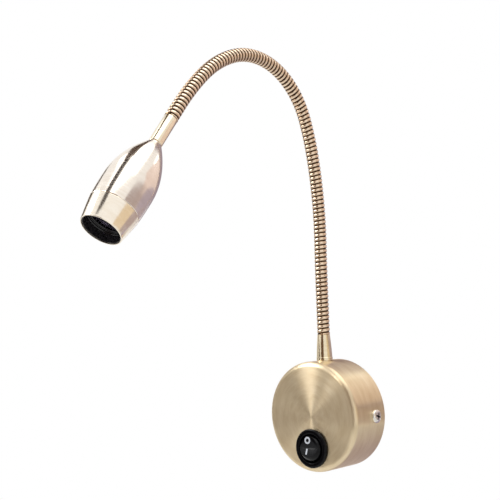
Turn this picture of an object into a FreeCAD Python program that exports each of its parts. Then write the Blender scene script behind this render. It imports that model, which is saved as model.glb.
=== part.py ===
import FreeCAD, Part
import math
import os

from FreeCAD import Placement, Rotation, Vector

# Bedside wall reading lamp: a round base with a rocker switch, a ribbed gooseneck and a bullet head.
# Millimetres. The wall is the plane y = 0, the lamp stands out towards -Y, +Z is up,
# and the origin is the centre of the base's back face.

# ---------------------------------------------------------------- driving dimensions
clearance = 0.1  # between pieces that are fitted together by hand
thread_clearance = 0.03  # radial, between a screw and its hole
touch = 0.02  # between faces that only rest on each other

# base cover, a spun steel cup
base_diameter = 65.0
base_depth = 29.2
cover_wall = 1.2
edge_depth = 2.9  # how far back the rounded front edge reaches
edge_inset = 3.2  # how far in from the side it starts

# wall bracket, a pressed steel strip with two ears
bracket_thickness = 1.5
bracket_height = 18.0
ear_width = 12.0
ear_depth = 15.0
cover_screw_depth = 9.7  # from the wall to the axis of the side screws
wall_slot_spacing = 34.0
wall_slot_length = 9.0
wall_slot_width = 4.4
supply_hole_diameter = 11.0
tab_width = 18.0
tab_height = 14.5
earth_screw_gap = 0.9  # from the ear's bent root to the earth screw's cup washer
earth_screw_drop = 5.6
tab_gap = 1.0  # from the bracket's strip to the terminal block

# screws
cover_screw_diameter = 4.0
cover_screw_length = 6.0
cover_screw_head_diameter = 7.8
cover_screw_head_height = 2.2
small_screw_diameter = 3.0
small_screw_head_diameter = 5.4
small_screw_head_height = 1.8
drive_slot_width = 0.8
drive_slot_depth = 0.9

# grommet in the supply hole
grommet_bore = 7.0
grommet_flange_diameter = 14.0
grommet_flange_thickness = 1.2

# terminal block with two poles
block_length = 16.0
block_height = 12.0
block_depth = 8.5
pole_pitch = 7.0
pole_bore = 3.0
block_wall = 0.6  # floor under the fixing screw's counterbore

# constant-current driver in a moulded case
driver_width = 34.0
driver_height = 19.0
driver_depth = 15.0
driver_bottom = -0.5  # height of the case's lower face above the base's centre
driver_round = 1.5
pad_thickness = 1.0
pad_margin = 2.5

# round rocker switch
switch_to_rim = 14.1  # from the switch's centre down to the base's rim
switch_cutout = 20.0
switch_key_width = 2.0
switch_key_height = 0.7
catch_width = 4.0
catch_height = 2.2
catch_reach = 0.5
catch_gap = 0.4  # behind the cover's wall
bezel_diameter = 23.0
bezel_thickness = 1.8
bezel_round = 0.9
switch_body_depth = 12.5
switch_floor = 1.5
rocker_radius = 8.2
rocker_gap = 0.35
rocker_pivot_depth = 1.6  # behind the front face of the base
rocker_rise = 4.9  # from the pivot to the middle of the rocker's face
rocker_tail = 4.3  # from the pivot to the rocker's flat back
rocker_face_angle = 7.0  # each half of the face falls towards the middle
rocker_tilt = 12.0  # either side of the middle position
rocker_pin_diameter = 2.4
rocker_round = 0.5
plunger_well = 2.2  # how deep past the pivot its bore goes
plunger_diameter = 2.2
plunger_reach = 7.2  # from the pivot to the plunger's tip
plunger_length = 5.2
switch_spring_wire = 0.3
switch_spring_diameter = 1.9
switch_spring_turns = 5
lever_length = 9.0
lever_width = 3.2
lever_thickness = 0.5
lever_bend = 8.0  # each arm rises towards the rocker
lever_gap = 0.35  # between the plunger's path and the lever
cradle_gap = 0.15  # between the lever's ridge and the common terminal
tab_terminal_width = 4.8
tab_terminal_thickness = 0.8
tab_terminal_length = 7.0
eyelet_diameter = 1.3
eyelet_setback = 2.2
contact_thickness = 0.45
contact_overlap = 1.6  # how far the contact's shelf reaches under the lever's end
contact_offset = 5.0  # from the common tab up to the contact tab

# ferrule that holds the gooseneck to the base
ferrule_depth = 14.0  # from the wall to the gooseneck's axis
ferrule_height = 15.9
ferrule_foot_diameter = 9.9
ferrule_foot_height = 2.0
ferrule_waist_diameter = 8.3
ferrule_waist_height = 8.0
ferrule_stub_diameter = 8.0
ferrule_stub_length = 7.2
washer_diameter = 12.0
washer_thickness = 0.8
nut_across_flats = 11.0
nut_thickness = 3.2

# gooseneck: ribs in each length, and how far that length turns away from the wall
hose_diameter = 7.8
hose_groove_diameter = 6.7
hose_bore = 4.4
rib_pitch = 2.53
rib_crest_start = 0.2  # shares of the pitch
rib_crest_end = 0.8
hose_ribs = (11, 11, 11, 10, 9, 9, 10, 11, 11, 11, 4)
hose_turns = (0.0, -1.6, 6.8, 5.8, 9.4, 26.6, 31.3, 32.0, 21.3, 10.3, 0.0)
hose_joint_gap = 0.95  # lets each length swing 12 degrees from the next
spigot_diameter = 5.8
spigot_length = 7.5

# lamp lead, a round two-core cable inside the gooseneck
lead_diameter = 3.0
wire_diameter = 1.6  # single wires in the base

# sleeve between the gooseneck and the head
sleeve_diameter = 7.5
sleeve_length = 18.4
sleeve_stub_diameter = 5.8
sleeve_stub_length = 6.6
wire_bore = 4.0

# head shell, distances from its tail along its axis
head_length = 58.2
head_wall = 1.3
head_tail_radius = 3.5
head_widest_radius = 13.9
head_seam_radius = 13.4
front_ring_length = 13.2
widest_share = 0.667  # how far along the shell it is widest
# shares of the shell's length and of its widest radius
head_swell = ((0.178, 0.583), (0.311, 0.773), (0.489, 0.939))
tail_block = 8.0  # solid length behind the cavity
tail_cone_radius = 5.5  # the cavity's floor
shell_bore = 24.2

# front ring and what it holds
mouth_radius = 11.15
mouth_lip = 0.35
ring_bore = 21.2
ring_spigot_length = 5.0
lens_recess = 9.2  # from the mouth back to the lens's seat
lens_seat_bore = 19.6
lens_flange_diameter = 20.8
lens_flange_thickness = 1.6
lens_dome = 0.3
lens_depth = 11.6  # from its seat back to its tail
lens_back_diameter = 9.0
lens_pocket_diameter = 5.0
lens_pocket_depth = 5.0
lens_pocket_dome = 0.6
lens_tip = 0.2  # radius of the small flats in the middle of its domes
glare_wall = 0.5
glare_lip = 1.2
glare_lip_width = 1.2
glare_chamfer = 0.4
ridge_height = 0.25
ridge_gap = 0.9  # from the glare ring's lip to its ridge
mouth_setback = 0.5  # the glare ring ends this far inside the mouth

# light source
source_gap = 0.5  # from the light source's dome to the lens's tail
slug_length = 7.0
slug_vent_radius = 1.4
slug_vents = 6
thermal_pad_thickness = 0.3
thermal_pad_margin = 0.4
board_diameter = 20.0
board_thickness = 1.6
board_notch_radius = 1.6
board_notches = 6
emitter_size = 3.5
emitter_height = 0.8
dome_radius = 1.35
board_screw_circle = 7.6
board_screw_diameter = 2.0
board_screw_length = 5.0
board_screw_head = 3.6
board_screw_head_height = 1.1
lead_offset = 7.0  # the lead passes the slug beside its middle

# ---------------------------------------------------------------- worked-out sizes
base_radius = base_diameter / 2
inner_radius = base_radius - cover_wall
front = -base_depth
inner_front = front + cover_wall
hose_radius = hose_diameter / 2
groove_radius = hose_groove_diameter / 2
neck_top = base_radius + ferrule_height
switch_drop = base_radius - switch_to_rim
head_seam = head_length - front_ring_length
head_widest = head_seam * widest_share
lens_seat = head_length - lens_recess
lens_back = lens_seat - lens_depth
source_height = emitter_height + dome_radius - 0.2
board_top = lens_back - source_gap - source_height - touch
slug_back = board_top - board_thickness - thermal_pad_thickness - 2 * touch - slug_length
x_axis = Vector(1, 0, 0)
y_axis = Vector(0, 1, 0)
z_axis = Vector(0, 0, 1)

os.makedirs("parts", exist_ok=True)


# ---------------------------------------------------------------- small helpers
def keep(node, *solids):
    """Write one node; several separate solids share it as a group."""
    shape = solids[0] if len(solids) == 1 else Part.makeCompound(list(solids))
    shape.exportStep("parts/" + node + ".step")
    print(node, "valid" if shape.isValid() else "BROKEN", round(shape.Volume, 2))


def box(x0, x1, y0, y1, z0, z1):
    return Part.makeBox(x1 - x0, y1 - y0, z1 - z0, Vector(x0, y0, z0))


def rod(start, direction, diameter, length):
    return Part.makeCylinder(diameter / 2, length, start, direction)


def edge_of(start, item):
    """One edge of an outline: a point, or an arc given as (through, end), or a curve through points."""
    if isinstance(item, Vector):
        return Part.LineSegment(start, item).toShape(), item
    if len(item) == 2:
        return Part.Arc(start, item[0], item[1]).toShape(), item[1]
    curve = Part.BSplineCurve()
    curve.interpolate([start] + list(item))
    return curve.toShape(), item[-1]


def outline(start, items):
    edges = []
    here = start
    for item in list(items) + [start]:
        edge, here = edge_of(here, item)
        edges.append(edge)
    return Part.Face(Part.Wire(edges))


def turned(points, axis=z_axis):
    """A turned piece: radius and height along the axis, which runs through the origin."""

    def place(item):
        if isinstance(item[0], tuple):
            return tuple(place(p) for p in item)
        return Vector(item[0], 0, item[1])

    face = outline(place(points[0]), [place(p) for p in points[1:]])
    solid = face.revolve(Vector(0, 0, 0), z_axis, 360)
    if axis is not z_axis:
        solid.Placement = Placement(Vector(0, 0, 0), Rotation(z_axis, axis))
    return solid


def ring(outer, inner, start, length):
    """A plain tube about Z."""
    tube = Part.makeCylinder(outer / 2, length, Vector(0, 0, start))
    return tube.cut(Part.makeCylinder(inner / 2, length + 2, Vector(0, 0, start - 1)))


def hexagon(across, thickness, base, direction):
    corners = []
    for i in range(7):
        angle = math.radians(60 * i)
        corners.append(Vector(math.cos(angle), math.sin(angle), 0) * (across / math.sqrt(3)))
    solid = Part.Face(Part.makePolygon(corners)).extrude(z_axis * thickness)
    solid.Placement = Placement(base, Rotation(z_axis, direction))
    return solid


def screw(diameter, length, head_diameter, head_height, seat, direction):
    """A domed screw whose head rests on seat and whose shank runs along direction, with a cross recess."""
    r = diameter / 2
    rh = head_diameter / 2
    rim = 0.45 * head_height
    flat = drive_slot_width / 4  # a small flat in the middle of the dome
    dome = ((0.72 * rh, -0.9 * head_height), (flat, -head_height))
    body = turned([(0, length), (r, length), (r, 0), (rh, 0), (rh, -rim), dome, (0, -head_height)])
    for angle in (0, 90):
        arm = 0.3 * head_diameter
        half_slot = drive_slot_width / 2
        bar = box(-arm, arm, -half_slot, half_slot, -head_height - 1, -head_height + drive_slot_depth)
        bar.rotate(Vector(0, 0, 0), z_axis, angle)
        body = body.cut(bar)
    body.Placement = Placement(seat, Rotation(z_axis, direction))
    return body


def tube(points, diameter):
    """A wire along straight runs joined by tangent arcs as large as the runs allow."""
    pts = [Vector(*p) for p in points]
    edges = []
    here = pts[0]
    for i in range(1, len(pts) - 1):
        before = pts[i] - pts[i - 1]
        after = pts[i + 1] - pts[i]
        turn = before.getAngle(after)
        run = min(before.Length, after.Length)
        radius = 0.45 * run / math.tan(turn / 2)
        cut = 0.45 * run
        start = pts[i] - before.normalize() * cut
        end = pts[i] + after.normalize() * cut
        inward = (start + end) * 0.5 - pts[i]
        centre = pts[i] + inward.normalize() * (radius / math.cos(turn / 2))
        middle = centre - inward * radius
        edges.append(Part.LineSegment(here, start).toShape())
        edges.append(Part.Arc(start, middle, end).toShape())
        here = end
        print("   wire bend radius", round(radius, 1))
    edges.append(Part.LineSegment(here, pts[-1]).toShape())
    path = Part.Wire(edges)
    profile = Part.Wire([Part.Circle(pts[0], pts[1] - pts[0], diameter / 2).toShape()])
    solid = path.makePipeShell([profile], True, False)
    length = sum(e.Length for e in edges)
    section = math.pi * diameter**2 / 4
    print("   wire length", round(length, 1), "volume ratio", round(solid.Volume / (section * length), 4))
    return solid


# ---------------------------------------------------------------- base cover
side_edge = front + edge_depth
face_edge = base_radius - edge_inset
round_share = 1 - math.sqrt(0.5)  # where a quarter round is at its middle
edge_middle = (base_radius - edge_inset * round_share, front + edge_depth * round_share)
inner_inset = inner_radius - face_edge
inner_rise = side_edge - inner_front
inner_middle = (inner_radius - inner_inset * round_share, inner_front + inner_rise * round_share)
profile = [
    (base_radius, 0),
    (base_radius, side_edge),
    (edge_middle, (face_edge, front)),
    (0, front),
    (0, inner_front),
    (face_edge, inner_front),
    (inner_middle, (inner_radius, side_edge)),
    (inner_radius, 0),
]
cover = turned(profile, axis=y_axis)
cover_hole = cover_screw_diameter + 4 * clearance
for side in (-1, 1):
    cover = cover.cut(rod(Vector(0, -cover_screw_depth, 0), x_axis * side, cover_hole, base_diameter))
neck_hole = ferrule_stub_diameter + 2 * clearance
cover = cover.cut(rod(Vector(0, -ferrule_depth, 0), z_axis, neck_hole, base_diameter))
switch_centre = Vector(0, 0, -switch_drop)
cutout = rod(Vector(0, front - 1, -switch_drop), y_axis, switch_cutout + 2 * clearance, cover_wall + 2)
key_side = switch_key_width / 2 + clearance
key_top = -switch_drop + switch_cutout / 2 + switch_key_height + 2 * clearance
key_space = box(-key_side, key_side, front - 1, inner_front + 1, -switch_drop, key_top)
cover = cover.cut(cutout.fuse(key_space))
keep("base_cover", cover)

# ---------------------------------------------------------------- wall bracket


def through_plate(x, z, diameter):
    """A drill through the bracket's plate."""
    return rod(Vector(x, -2 * bracket_thickness, z), y_axis, diameter, 3 * bracket_thickness)


ear_face = math.sqrt(inner_radius**2 - (ear_width / 2) ** 2) - clearance
half = bracket_height / 2
plate = box(-ear_face, ear_face, -bracket_thickness, 0, -half, half)
inside = 2 * (inner_radius - clearance)
limit = rod(Vector(0, -bracket_thickness - 1, 0), y_axis, inside, bracket_thickness + 2)
tab = box(-tab_width / 2, tab_width / 2, -bracket_thickness, 0, 0, half + tab_height)
plate = plate.fuse(tab).common(limit)
bracket = plate
for side in (-1, 1):
    ear = box(ear_face - bracket_thickness, ear_face, -ear_depth, 0, -ear_width / 2, ear_width / 2)
    root_x = ear_face - 2 * bracket_thickness
    root_y = -2 * bracket_thickness
    half_ear = ear_width / 2
    gusset = box(root_x, ear_face - bracket_thickness, root_y, -bracket_thickness, -half_ear, half_ear)
    gusset = gusset.cut(rod(Vector(root_x, root_y, -ear_width), z_axis, 2 * bracket_thickness, 2 * ear_width))
    ear = ear.fuse(gusset)
    if side < 0:
        ear = ear.mirror(Vector(0, 0, 0), x_axis)
    bracket = bracket.fuse(ear)
for side in (-1, 1):
    start = Vector(side * (ear_face - 2 * bracket_thickness), -cover_screw_depth, 0)
    hole = rod(start, x_axis * side, cover_screw_diameter + 2 * thread_clearance, 4 * bracket_thickness)
    bracket = bracket.cut(hole)
    centre = side * wall_slot_spacing / 2
    straight = (wall_slot_length - wall_slot_width) / 2
    half_slot = wall_slot_width / 2
    slot = box(centre - straight, centre + straight, -2 * bracket_thickness, 1, -half_slot, half_slot)
    for end in (-1, 1):
        slot = slot.fuse(through_plate(centre + end * straight, 0, wall_slot_width))
    bracket = bracket.cut(slot)
bracket = bracket.cut(through_plate(0, 0, supply_hole_diameter))
block_z = half + tab_gap  # lower side of the terminal block
block_screw_z = block_z + block_height / 2
small_hole = small_screw_diameter + 2 * thread_clearance
bracket = bracket.cut(through_plate(0, block_screw_z, small_hole))
cup_diameter = small_screw_head_diameter + 1.2
earth_side = ear_face - 2 * bracket_thickness - cup_diameter / 2 - earth_screw_gap
earth_place = Vector(-earth_side, 0, -earth_screw_drop)
bracket = bracket.cut(through_plate(-earth_side, -earth_screw_drop, small_hole))
keep("wall_bracket", bracket.removeSplitter())

# ---------------------------------------------------------------- side screws, earth screw
screws = []
for side in (-1, 1):
    seat = Vector(side * (base_radius + touch), -cover_screw_depth, 0)
    sizes = (cover_screw_diameter, cover_screw_length, cover_screw_head_diameter, cover_screw_head_height)
    screws.append(screw(*sizes, seat, x_axis * -side))
keep("cover_screws", *screws)
cup_thickness = 0.6
cup = ring(cup_diameter, small_hole, 0, cup_thickness)
cup.Placement = Placement(earth_place - y_axis * (bracket_thickness + touch), Rotation(z_axis, y_axis * -1))
keep("earth_washer", cup)
earth_seat = earth_place - y_axis * (bracket_thickness + cup_thickness + 2 * touch)
small_head = (small_screw_head_diameter, small_screw_head_height)
earth_grip = bracket_thickness + cup_thickness
keep("earth_screw", screw(small_screw_diameter, earth_grip, *small_head, earth_seat, y_axis))

# ---------------------------------------------------------------- supply grommet
gr = supply_hole_diameter / 2 - touch
fl = grommet_flange_diameter / 2
inner = grommet_bore / 2
back = -bracket_thickness - touch
far = back - grommet_flange_thickness
lip_height = 0.6
chamfer = (inner + lip_height, far - lip_height)
profile = [(inner, 0), (gr, 0), (gr, back), (fl, back), (fl, far), chamfer, (inner, far)]
grommet = turned(profile, axis=y_axis)
keep("supply_grommet", grommet)

# ---------------------------------------------------------------- terminal block
block_y0 = -bracket_thickness - touch - block_depth
block_y1 = -bracket_thickness - touch
block = box(-block_length / 2, block_length / 2, block_y0, block_y1, block_z, block_z + block_height)
pole_y = block_y0 + block_depth / 2 + 1.0
poles = (block_screw_z + pole_pitch / 2 + 0.4, block_screw_z - pole_pitch / 2 - 0.4)
block = block.makeFillet(0.8, [e for e in block.Edges if abs(e.tangentAt(e.FirstParameter).y) > 0.9])
waist_depth = block_depth - block_wall - bracket_thickness
waist = rod(Vector(0, block_y0 - 1, block_screw_z), y_axis, small_screw_head_diameter + 0.6, waist_depth)
block = block.cut(waist)
block = block.cut(rod(Vector(0, block_y0 - 1, block_screw_z), y_axis, small_hole, block_depth + 2))
clamps = []
for pole_z in poles:
    block = block.cut(rod(Vector(-block_length / 2 - 1, pole_y, pole_z), x_axis, pole_bore, block_length + 2))
    for side in (-1, 1):
        place = Vector(side * (block_length / 2 - 3.0), block_y0 - 1, pole_z)
        block = block.cut(rod(place, y_axis, small_screw_diameter + 0.4, 1 + pole_y - block_y0))
        reach = pole_y - block_y0 - pole_bore / 2 - 0.8
        clamps.append(rod(place + y_axis * 1.6, y_axis, small_screw_diameter, reach))
keep("terminal_block", block)
slotted = []
for clamp in clamps:
    low = clamp.BoundBox
    middle = (low.ZMin + low.ZMax) / 2
    groove = box(low.XMin - 1, low.XMax + 1, low.YMin - 1, low.YMin + 0.5, middle - 0.25, middle + 0.25)
    slotted.append(clamp.cut(groove))
keep("terminal_screws", *slotted)
block_seat = Vector(0, block_y0 - 1 + block_depth - block_wall - bracket_thickness - touch, block_screw_z)
block_screw_length = -block_seat.y - 0.1
fixing = screw(small_screw_diameter, block_screw_length, *small_head, block_seat, y_axis)
keep("terminal_fixing_screw", fixing)

# ---------------------------------------------------------------- driver
driver_y0 = inner_front + touch + pad_thickness + touch
driver_y1 = driver_y0 + driver_depth
driver_z1 = driver_bottom + driver_height
driver = box(-driver_width / 2, driver_width / 2, driver_y0, driver_y1, driver_bottom, driver_z1)
driver = driver.makeFillet(driver_round, driver.Edges)
lid_line = 0.4
parting = driver_y1 - 3.5
groove = box(-driver_width, driver_width, parting, parting + lid_line, driver_bottom - 1, driver_z1 + 1)
core_side = driver_width / 2 - lid_line
core_low = driver_bottom + lid_line
core_high = driver_z1 - lid_line
groove = groove.cut(box(-core_side, core_side, parting - 1, parting + 2, core_low, core_high))
driver = driver.cut(groove)
keep("driver_case", driver)
pad_side = driver_width / 2 - pad_margin
pad_front = inner_front + touch
pad_low = driver_bottom + pad_margin
pad = box(-pad_side, pad_side, pad_front, pad_front + pad_thickness, pad_low, driver_z1 - pad_margin)
keep("driver_pad", pad)

# ---------------------------------------------------------------- rocker switch
# Built about the switch's own axis: local z is the depth behind the front face, then placed.
switch_place = Placement(Vector(0, front, -switch_drop), Rotation(z_axis, y_axis))


def in_switch(solid):
    """Local (x, y, depth) to the lamp: local y is down before placing, so +Z of the lamp is -y here."""
    solid.Placement = switch_place.multiply(solid.Placement)
    return solid


body_radius = switch_cutout / 2 - touch
cavity_radius = rocker_radius + rocker_gap
bez = bezel_diameter / 2
bezel_middle = (bez - round_share * bezel_round, round_share * bezel_round - bezel_thickness)
housing = turned(
    [
        (cavity_radius, -bezel_thickness),
        (bez - bezel_round, -bezel_thickness),
        (bezel_middle, (bez, bezel_round - bezel_thickness)),
        (bez, -touch),
        (body_radius, -touch),
        (body_radius, switch_body_depth),
        (0, switch_body_depth),
        (0, switch_body_depth - switch_floor),
        (cavity_radius, switch_body_depth - switch_floor),
    ]
)
key_reach = switch_cutout / 2 + switch_key_height
half_key = switch_key_width / 2
key = box(-half_key, half_key, -key_reach, clearance - body_radius + 0.5, -touch, 2 * cover_wall)
housing = housing.fuse(key)
catch_start = cover_wall + catch_gap
for side in (-1, 1):
    catch_end = catch_start + catch_height
    catch_out = body_radius + catch_reach
    catch = box(body_radius - 0.3, catch_out, -catch_width / 2, catch_width / 2, catch_start, catch_end)
    if side < 0:
        catch = catch.mirror(Vector(0, 0, 0), x_axis)
    housing = housing.fuse(catch)
pin_reach = cavity_radius + 0.9  # how far each pin goes into the housing's wall
pin_out = pin_reach + clearance
pin_bore = rocker_pin_diameter + 2 * clearance
pin_hole = rod(Vector(-pin_out, 0, rocker_pivot_depth), x_axis, pin_bore, 2 * pin_out)
housing = housing.cut(pin_hole)
tab_side = tab_terminal_width / 2
tab_half = tab_terminal_thickness / 2
slot_side = tab_side + touch
slot_half = tab_half + touch
slot_start = switch_body_depth - 2 * switch_floor
common_slot = box(-slot_side, slot_side, -slot_half, slot_half, slot_start, 2 * switch_body_depth)
contact_slot = common_slot.copy()
contact_slot.translate(Vector(0, -contact_offset, 0))
housing = housing.cut(common_slot.fuse(contact_slot))
keep("switch_housing", in_switch(housing))

# rocker: a ball cut by two sloping faces in front and a flat behind, turned to the off position
pivot = Vector(0, 0, rocker_pivot_depth)
rocker = Part.makeSphere(rocker_radius, pivot)
slope = math.tan(math.radians(rocker_face_angle))
reach = rocker_radius + 2
top = rocker_pivot_depth - rocker_rise
end_top = top - slope * reach
tail_depth = rocker_pivot_depth + rocker_tail
corners = [
    Vector(0, 0, top),
    Vector(0, reach, end_top),
    Vector(0, reach, tail_depth),
    Vector(0, -reach, tail_depth),
]
keep_faces = outline(Vector(0, -reach, end_top), corners)
keep_faces.translate(x_axis * -reach)
rocker = rocker.common(keep_faces.extrude(x_axis * 2 * reach))
in_front = [e for e in rocker.Edges if e.BoundBox.ZMax < rocker_pivot_depth]
rim_edges = [e for e in in_front if e.BoundBox.XLength > 3 and e.BoundBox.YLength > 0.5]
rocker = rocker.makeFillet(rocker_round, rim_edges)
pins = rod(Vector(-pin_reach, 0, rocker_pivot_depth), x_axis, rocker_pin_diameter, 2 * pin_reach)
rocker = rocker.fuse(pins)
plunger_bore = plunger_diameter + 2 * clearance
bore_bottom = rocker_pivot_depth - plunger_well
rocker = rocker.cut(rod(Vector(0, 0, bore_bottom), z_axis, plunger_bore, 2 * rocker_radius))


def tilted(solid):
    solid.rotate(pivot, x_axis, -rocker_tilt)
    return in_switch(solid)


keep("switch_rocker", tilted(rocker))
tip = rocker_pivot_depth + plunger_reach
pr = plunger_diameter / 2
plunger_back = tip - plunger_length
plunger = rod(Vector(0, 0, plunger_back), z_axis, plunger_diameter, tip - pr - plunger_back)
plunger = plunger.fuse(Part.makeSphere(pr, Vector(0, 0, tip - pr))).removeSplitter()
keep("switch_plunger", tilted(plunger))
spring_space = plunger_back - bore_bottom - 2 * touch
spring_radius = (switch_spring_diameter - switch_spring_wire) / 2
spring_pitch = (spring_space - switch_spring_wire) / switch_spring_turns
helix = Part.makeHelix(spring_pitch, spring_pitch * switch_spring_turns, spring_radius)
coil_direction = Vector(0, spring_radius, spring_pitch / (2 * math.pi))
start_circle = Part.Circle(Vector(spring_radius, 0, 0), coil_direction, switch_spring_wire / 2)
start_ring = Part.Wire([start_circle.toShape()])
spring = helix.makePipeShell([start_ring], True, True)
spring.translate(z_axis * (bore_bottom + touch + switch_spring_wire / 2))
keep("switch_spring", tilted(spring))

# contact lever: a shallow V that rocks on the common terminal
lever_seat = tip + lever_gap
half_lever = lever_length / 2
rise = half_lever * math.tan(math.radians(lever_bend))
lever_end = lever_seat - rise
lever = outline(
    Vector(0, -half_lever, lever_end),
    [
        Vector(0, 0, lever_seat),
        Vector(0, half_lever, lever_end),
        Vector(0, half_lever, lever_end + lever_thickness),
        Vector(0, 0, lever_seat + lever_thickness),
        Vector(0, -half_lever, lever_end + lever_thickness),
    ],
)
lever.translate(x_axis * (-lever_width / 2))
lever = lever.extrude(x_axis * lever_width)
lever_pivot = Vector(0, 0, lever_seat + lever_thickness)
lever.rotate(lever_pivot, x_axis, lever_bend)
keep("switch_lever", in_switch(lever))
cradle_top = lever_seat + lever_thickness + cradle_gap
terminal_end = switch_body_depth + tab_terminal_length
eyelet = terminal_end - eyelet_setback
common = box(-tab_side, tab_side, -tab_half, tab_half, cradle_top, terminal_end)
common = common.cut(rod(Vector(0, -1, eyelet), y_axis, eyelet_diameter, 2))
keep("switch_common_terminal", in_switch(common))
floor_depth = switch_body_depth - switch_floor
contact_back = -contact_offset - tab_half
contact_half = lever_width / 2
shelf_top = floor_depth - contact_thickness
contact_front = contact_back + tab_terminal_thickness
shelf_end = contact_overlap - half_lever
contact = box(-tab_side, tab_side, contact_back, contact_front, floor_depth + touch, terminal_end)
shelf = box(-contact_half, contact_half, contact_back, shelf_end, shelf_top, floor_depth - touch)
riser = box(-contact_half, contact_half, contact_back, contact_front, shelf_top, floor_depth + 1)
contact = contact.fuse(shelf).fuse(riser)
hole = rod(Vector(0, contact_back - 1, eyelet), y_axis, eyelet_diameter, tab_terminal_thickness + 2)
contact = contact.cut(hole)
keep("switch_contact_terminal", in_switch(contact.removeSplitter()))

# ---------------------------------------------------------------- ferrule, washer, nut
foot = ferrule_foot_diameter / 2
waist_r = ferrule_waist_diameter / 2
stub = ferrule_stub_diameter / 2
socket_r = spigot_diameter / 2 + clearance
socket_bottom = neck_top - spigot_length - clearance
stub_end = base_radius - ferrule_stub_length
ferrule = turned(
    [
        (hose_bore / 2, stub_end),
        (stub, stub_end),
        (stub, base_radius),
        (foot, base_radius),
        (foot, base_radius + ferrule_foot_height),
        ((waist_r, base_radius + ferrule_waist_height), (hose_radius - 0.1, neck_top)),
        (socket_r, neck_top),
        (socket_r, socket_bottom),
        (hose_bore / 2, socket_bottom),
    ]
)
neck_base = Vector(0, -ferrule_depth, 0)
ferrule.translate(neck_base)
keep("lower_ferrule", ferrule)
washer_top = math.sqrt(inner_radius**2 - (washer_diameter / 2) ** 2) - touch
washer = ring(washer_diameter, neck_hole, washer_top - washer_thickness, washer_thickness)
teeth = 12
for i in range(teeth):
    notch = box(washer_diameter / 2 - 0.7, washer_diameter, -0.45, 0.45, washer_top - 2, washer_top + 2)
    notch.rotate(Vector(0, 0, 0), z_axis, 360 / teeth * (i + 0.5))
    washer = washer.cut(notch)
washer.translate(neck_base)
keep("lock_washer", washer)
nut_top = washer_top - washer_thickness - touch
nut = hexagon(nut_across_flats, nut_thickness, Vector(0, 0, nut_top - nut_thickness), z_axis)
nut_hole = ferrule_stub_diameter + 2 * thread_clearance
nut = nut.cut(rod(Vector(0, 0, nut_top - nut_thickness - 1), z_axis, nut_hole, nut_thickness + 2))
nut.translate(neck_base)
keep("lock_nut", nut)

# ---------------------------------------------------------------- gooseneck
# Each length is one arc in the plane x = 0; tilt is the angle of its direction from +Z towards -Y.


def place_on_arc(start, tilt, turn, length, s):
    """Point and tilt at distance s along an arc."""
    if abs(turn) < 1e-6:
        return start + Vector(0, -math.sin(tilt), math.cos(tilt)) * s, tilt
    radius = length / math.radians(turn)
    now = tilt + s / radius
    centre = start + Vector(0, -math.cos(tilt), -math.sin(tilt)) * radius
    return centre + Vector(0, math.cos(now), math.sin(now)) * radius, now


def hoop(radius, where):
    point, tilt = where
    direction = Vector(0, -math.sin(tilt), math.cos(tilt))
    circle = Part.Circle(point, direction, radius)
    circle.XAxis = x_axis
    return Part.Wire([circle.toShape()])


def arc_rod(radius, arc, s0, s1):
    """A plain round rod along part of an arc."""
    point, tilt = place_on_arc(*arc, s0)
    start, base_tilt, turn, length = arc
    face = Part.Face(hoop(radius, (point, tilt)))
    if abs(turn) < 1e-6:
        return face.extrude(Vector(0, -math.sin(tilt), math.cos(tilt)) * (s1 - s0))
    bend = length / math.radians(turn)
    centre = start + Vector(0, -math.cos(base_tilt), -math.sin(base_tilt)) * bend
    return face.revolve(centre, x_axis if bend > 0 else x_axis * -1, abs(turn) * (s1 - s0) / length)


arcs = []
start = Vector(0, -ferrule_depth, neck_top)
tilt = 0.0
for ribs, turn in zip(hose_ribs, hose_turns):
    length = ribs * rib_pitch
    arcs.append((start, tilt, turn, length))
    start, tilt = place_on_arc(start, tilt, turn, length, length)
neck_end = start
head_tilt = tilt
count = len(arcs)
print("gooseneck length", round(sum(hose_ribs) * rib_pitch, 1), "ends at", neck_end)
for i, arc in enumerate(arcs):
    length = arc[3]
    first = hose_joint_gap / 2 if i else touch
    last = length - (hose_joint_gap / 2 if i < count - 1 else touch)
    hoops = []
    for rib in range(hose_ribs[i]):
        begin = rib * rib_pitch
        hoops.append(hoop(groove_radius, place_on_arc(*arc, max(begin, first))))
        hoops.append(hoop(hose_radius, place_on_arc(*arc, begin + rib_crest_start * rib_pitch)))
        hoops.append(hoop(hose_radius, place_on_arc(*arc, begin + rib_crest_end * rib_pitch)))
    hoops.append(hoop(groove_radius, place_on_arc(*arc, last)))
    piece = Part.makeLoft(hoops, True, True)
    if i == 0:
        piece = piece.fuse(arc_rod(spigot_diameter / 2, arc, -spigot_length, first + 1))
    if i == count - 1:
        piece = piece.fuse(arc_rod(spigot_diameter / 2, arc, last - 1, length + spigot_length))
    bore_start = -spigot_length - 1 if i == 0 else 0
    bore_end = length + spigot_length + 1 if i == count - 1 else length
    piece = piece.cut(arc_rod(hose_bore / 2, arc, bore_start, bore_end))
    keep("gooseneck_%02d" % (i + 1), piece)

# ---------------------------------------------------------------- head, built along its axis, then placed
neck_direction = Vector(0, -math.sin(head_tilt), math.cos(head_tilt))
head_start = neck_end + neck_direction * sleeve_length
head_place = Placement(head_start, Rotation(x_axis, math.degrees(head_tilt)))


def in_head(solid):
    solid.Placement = head_place.multiply(solid.Placement)
    return solid


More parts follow.
